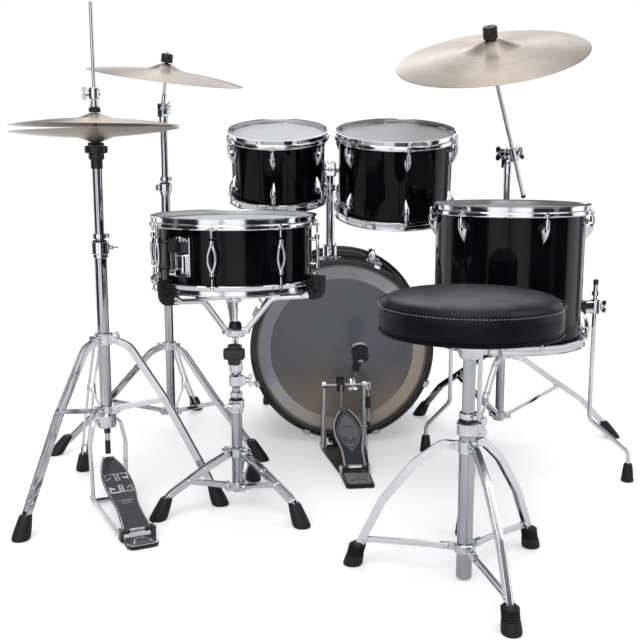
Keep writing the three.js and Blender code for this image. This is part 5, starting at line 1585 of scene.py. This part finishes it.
def add_world():
    """A white room with soft grey panels round it, which the metal and the lacquer mirror."""
    world = bpy.data.worlds.new("studio")
    bpy.context.scene.world = world
    world.use_nodes = True
    tree = world.node_tree
    background = tree.nodes["Background"]
    where = tree.nodes.new("ShaderNodeTexCoord")
    split = tree.nodes.new("ShaderNodeSeparateXYZ")
    tree.links.new(where.outputs["Generated"], split.inputs["Vector"])

    def calc(operation, a, b=None):
        node = tree.nodes.new("ShaderNodeMath")
        node.operation = operation
        for socket, value in zip(node.inputs, (a, b)):
            if isinstance(value, (int, float)):
                socket.default_value = value
            elif value is not None:
                tree.links.new(value, socket)
        return node.outputs["Value"]

    azimuth = calc("ARCTAN2", split.outputs["Y"], split.outputs["X"])
    panels = tree.nodes.new("ShaderNodeValToRGB")
    panels.color_ramp.interpolation = "EASE"
    elements = panels.color_ramp.elements
    stops = [(0.0, 0.02), (0.4, 0.04), (0.52, 0.4), (0.62, 1.25), (1.0, 1.5)]
    while len(elements) < len(stops):
        elements.new(0.5)
    for element, (at, value) in zip(elements, stops):
        element.position, element.color = at, (value, value, value * 1.02, 1)
    broad, fine = (calc("SINE", calc("ADD", calc("MULTIPLY", azimuth, turns), start)) for turns, start in ((3, 0.6), (8, 0)))
    wave = calc("ADD", calc("ADD", calc("MULTIPLY", broad, 0.3), calc("MULTIPLY", fine, 0.24)), 0.5)
    tree.links.new(wave, panels.inputs["Fac"])
    height = tree.nodes.new("ShaderNodeMapRange")
    for key, value in {"From Min": 0.16, "From Max": 0.42, "To Min": 0, "To Max": 1}.items():
        height.inputs[key].default_value = value
    tree.links.new(split.outputs["Z"], height.inputs["Value"])
    mix = tree.nodes.new("ShaderNodeMix")
    mix.data_type = "RGBA"
    tree.links.new(height.outputs["Result"], mix.inputs["Factor"])
    tree.links.new(panels.outputs["Color"], mix.inputs["A"])
    beside = calc("ABSOLUTE", split.outputs["X"])
    dome = tree.nodes.new("ShaderNodeValToRGB")
    dome.color_ramp.interpolation = "EASE"
    for element, (at, value) in zip(dome.color_ramp.elements, ((0.1, 1.0), (0.42, 0.14))):
        element.position, element.color = at, (value, value, value * 1.02, 1)
    tree.links.new(beside, dome.inputs["Fac"])
    strength = tree.nodes.new("ShaderNodeVectorMath")
    strength.operation = "SCALE"
    strength.inputs["Scale"].default_value = 1.9
    tree.links.new(dome.outputs["Color"], strength.inputs[0])
    tree.links.new(strength.outputs["Vector"], mix.inputs["B"])
    rays = tree.nodes.new("ShaderNodeLightPath")
    seen = tree.nodes.new("ShaderNodeMix")
    seen.data_type = "RGBA"
    tree.links.new(rays.outputs["Is Camera Ray"], seen.inputs["Factor"])
    tree.links.new(mix.outputs["Result"], seen.inputs["A"])
    seen.inputs["B"].default_value = (1, 1, 1, 1)
    tree.links.new(seen.outputs["Result"], background.inputs["Color"])


def add_light(name, energy, size, place, aim):
    data = bpy.data.lights.new(name, "AREA")
    data.energy, data.size = energy, size
    light = bpy.data.objects.new(name, data)
    bpy.context.scene.collection.objects.link(light)
    light.location = place
    light.rotation_euler = (Vector(aim) - Vector(place)).to_track_quat("-Z", "Y").to_euler()


add_camera()
add_floor()
add_world()
add_light("key", 42, 2.4, (-1.6, -2.6, 3.2), (0, 0, 0.3))
add_light("fill", 26, 2.4, (2.4, -1.2, 2.8), (0, 0, 0.3))
bpy.context.scene.view_settings.view_transform = "Standard"
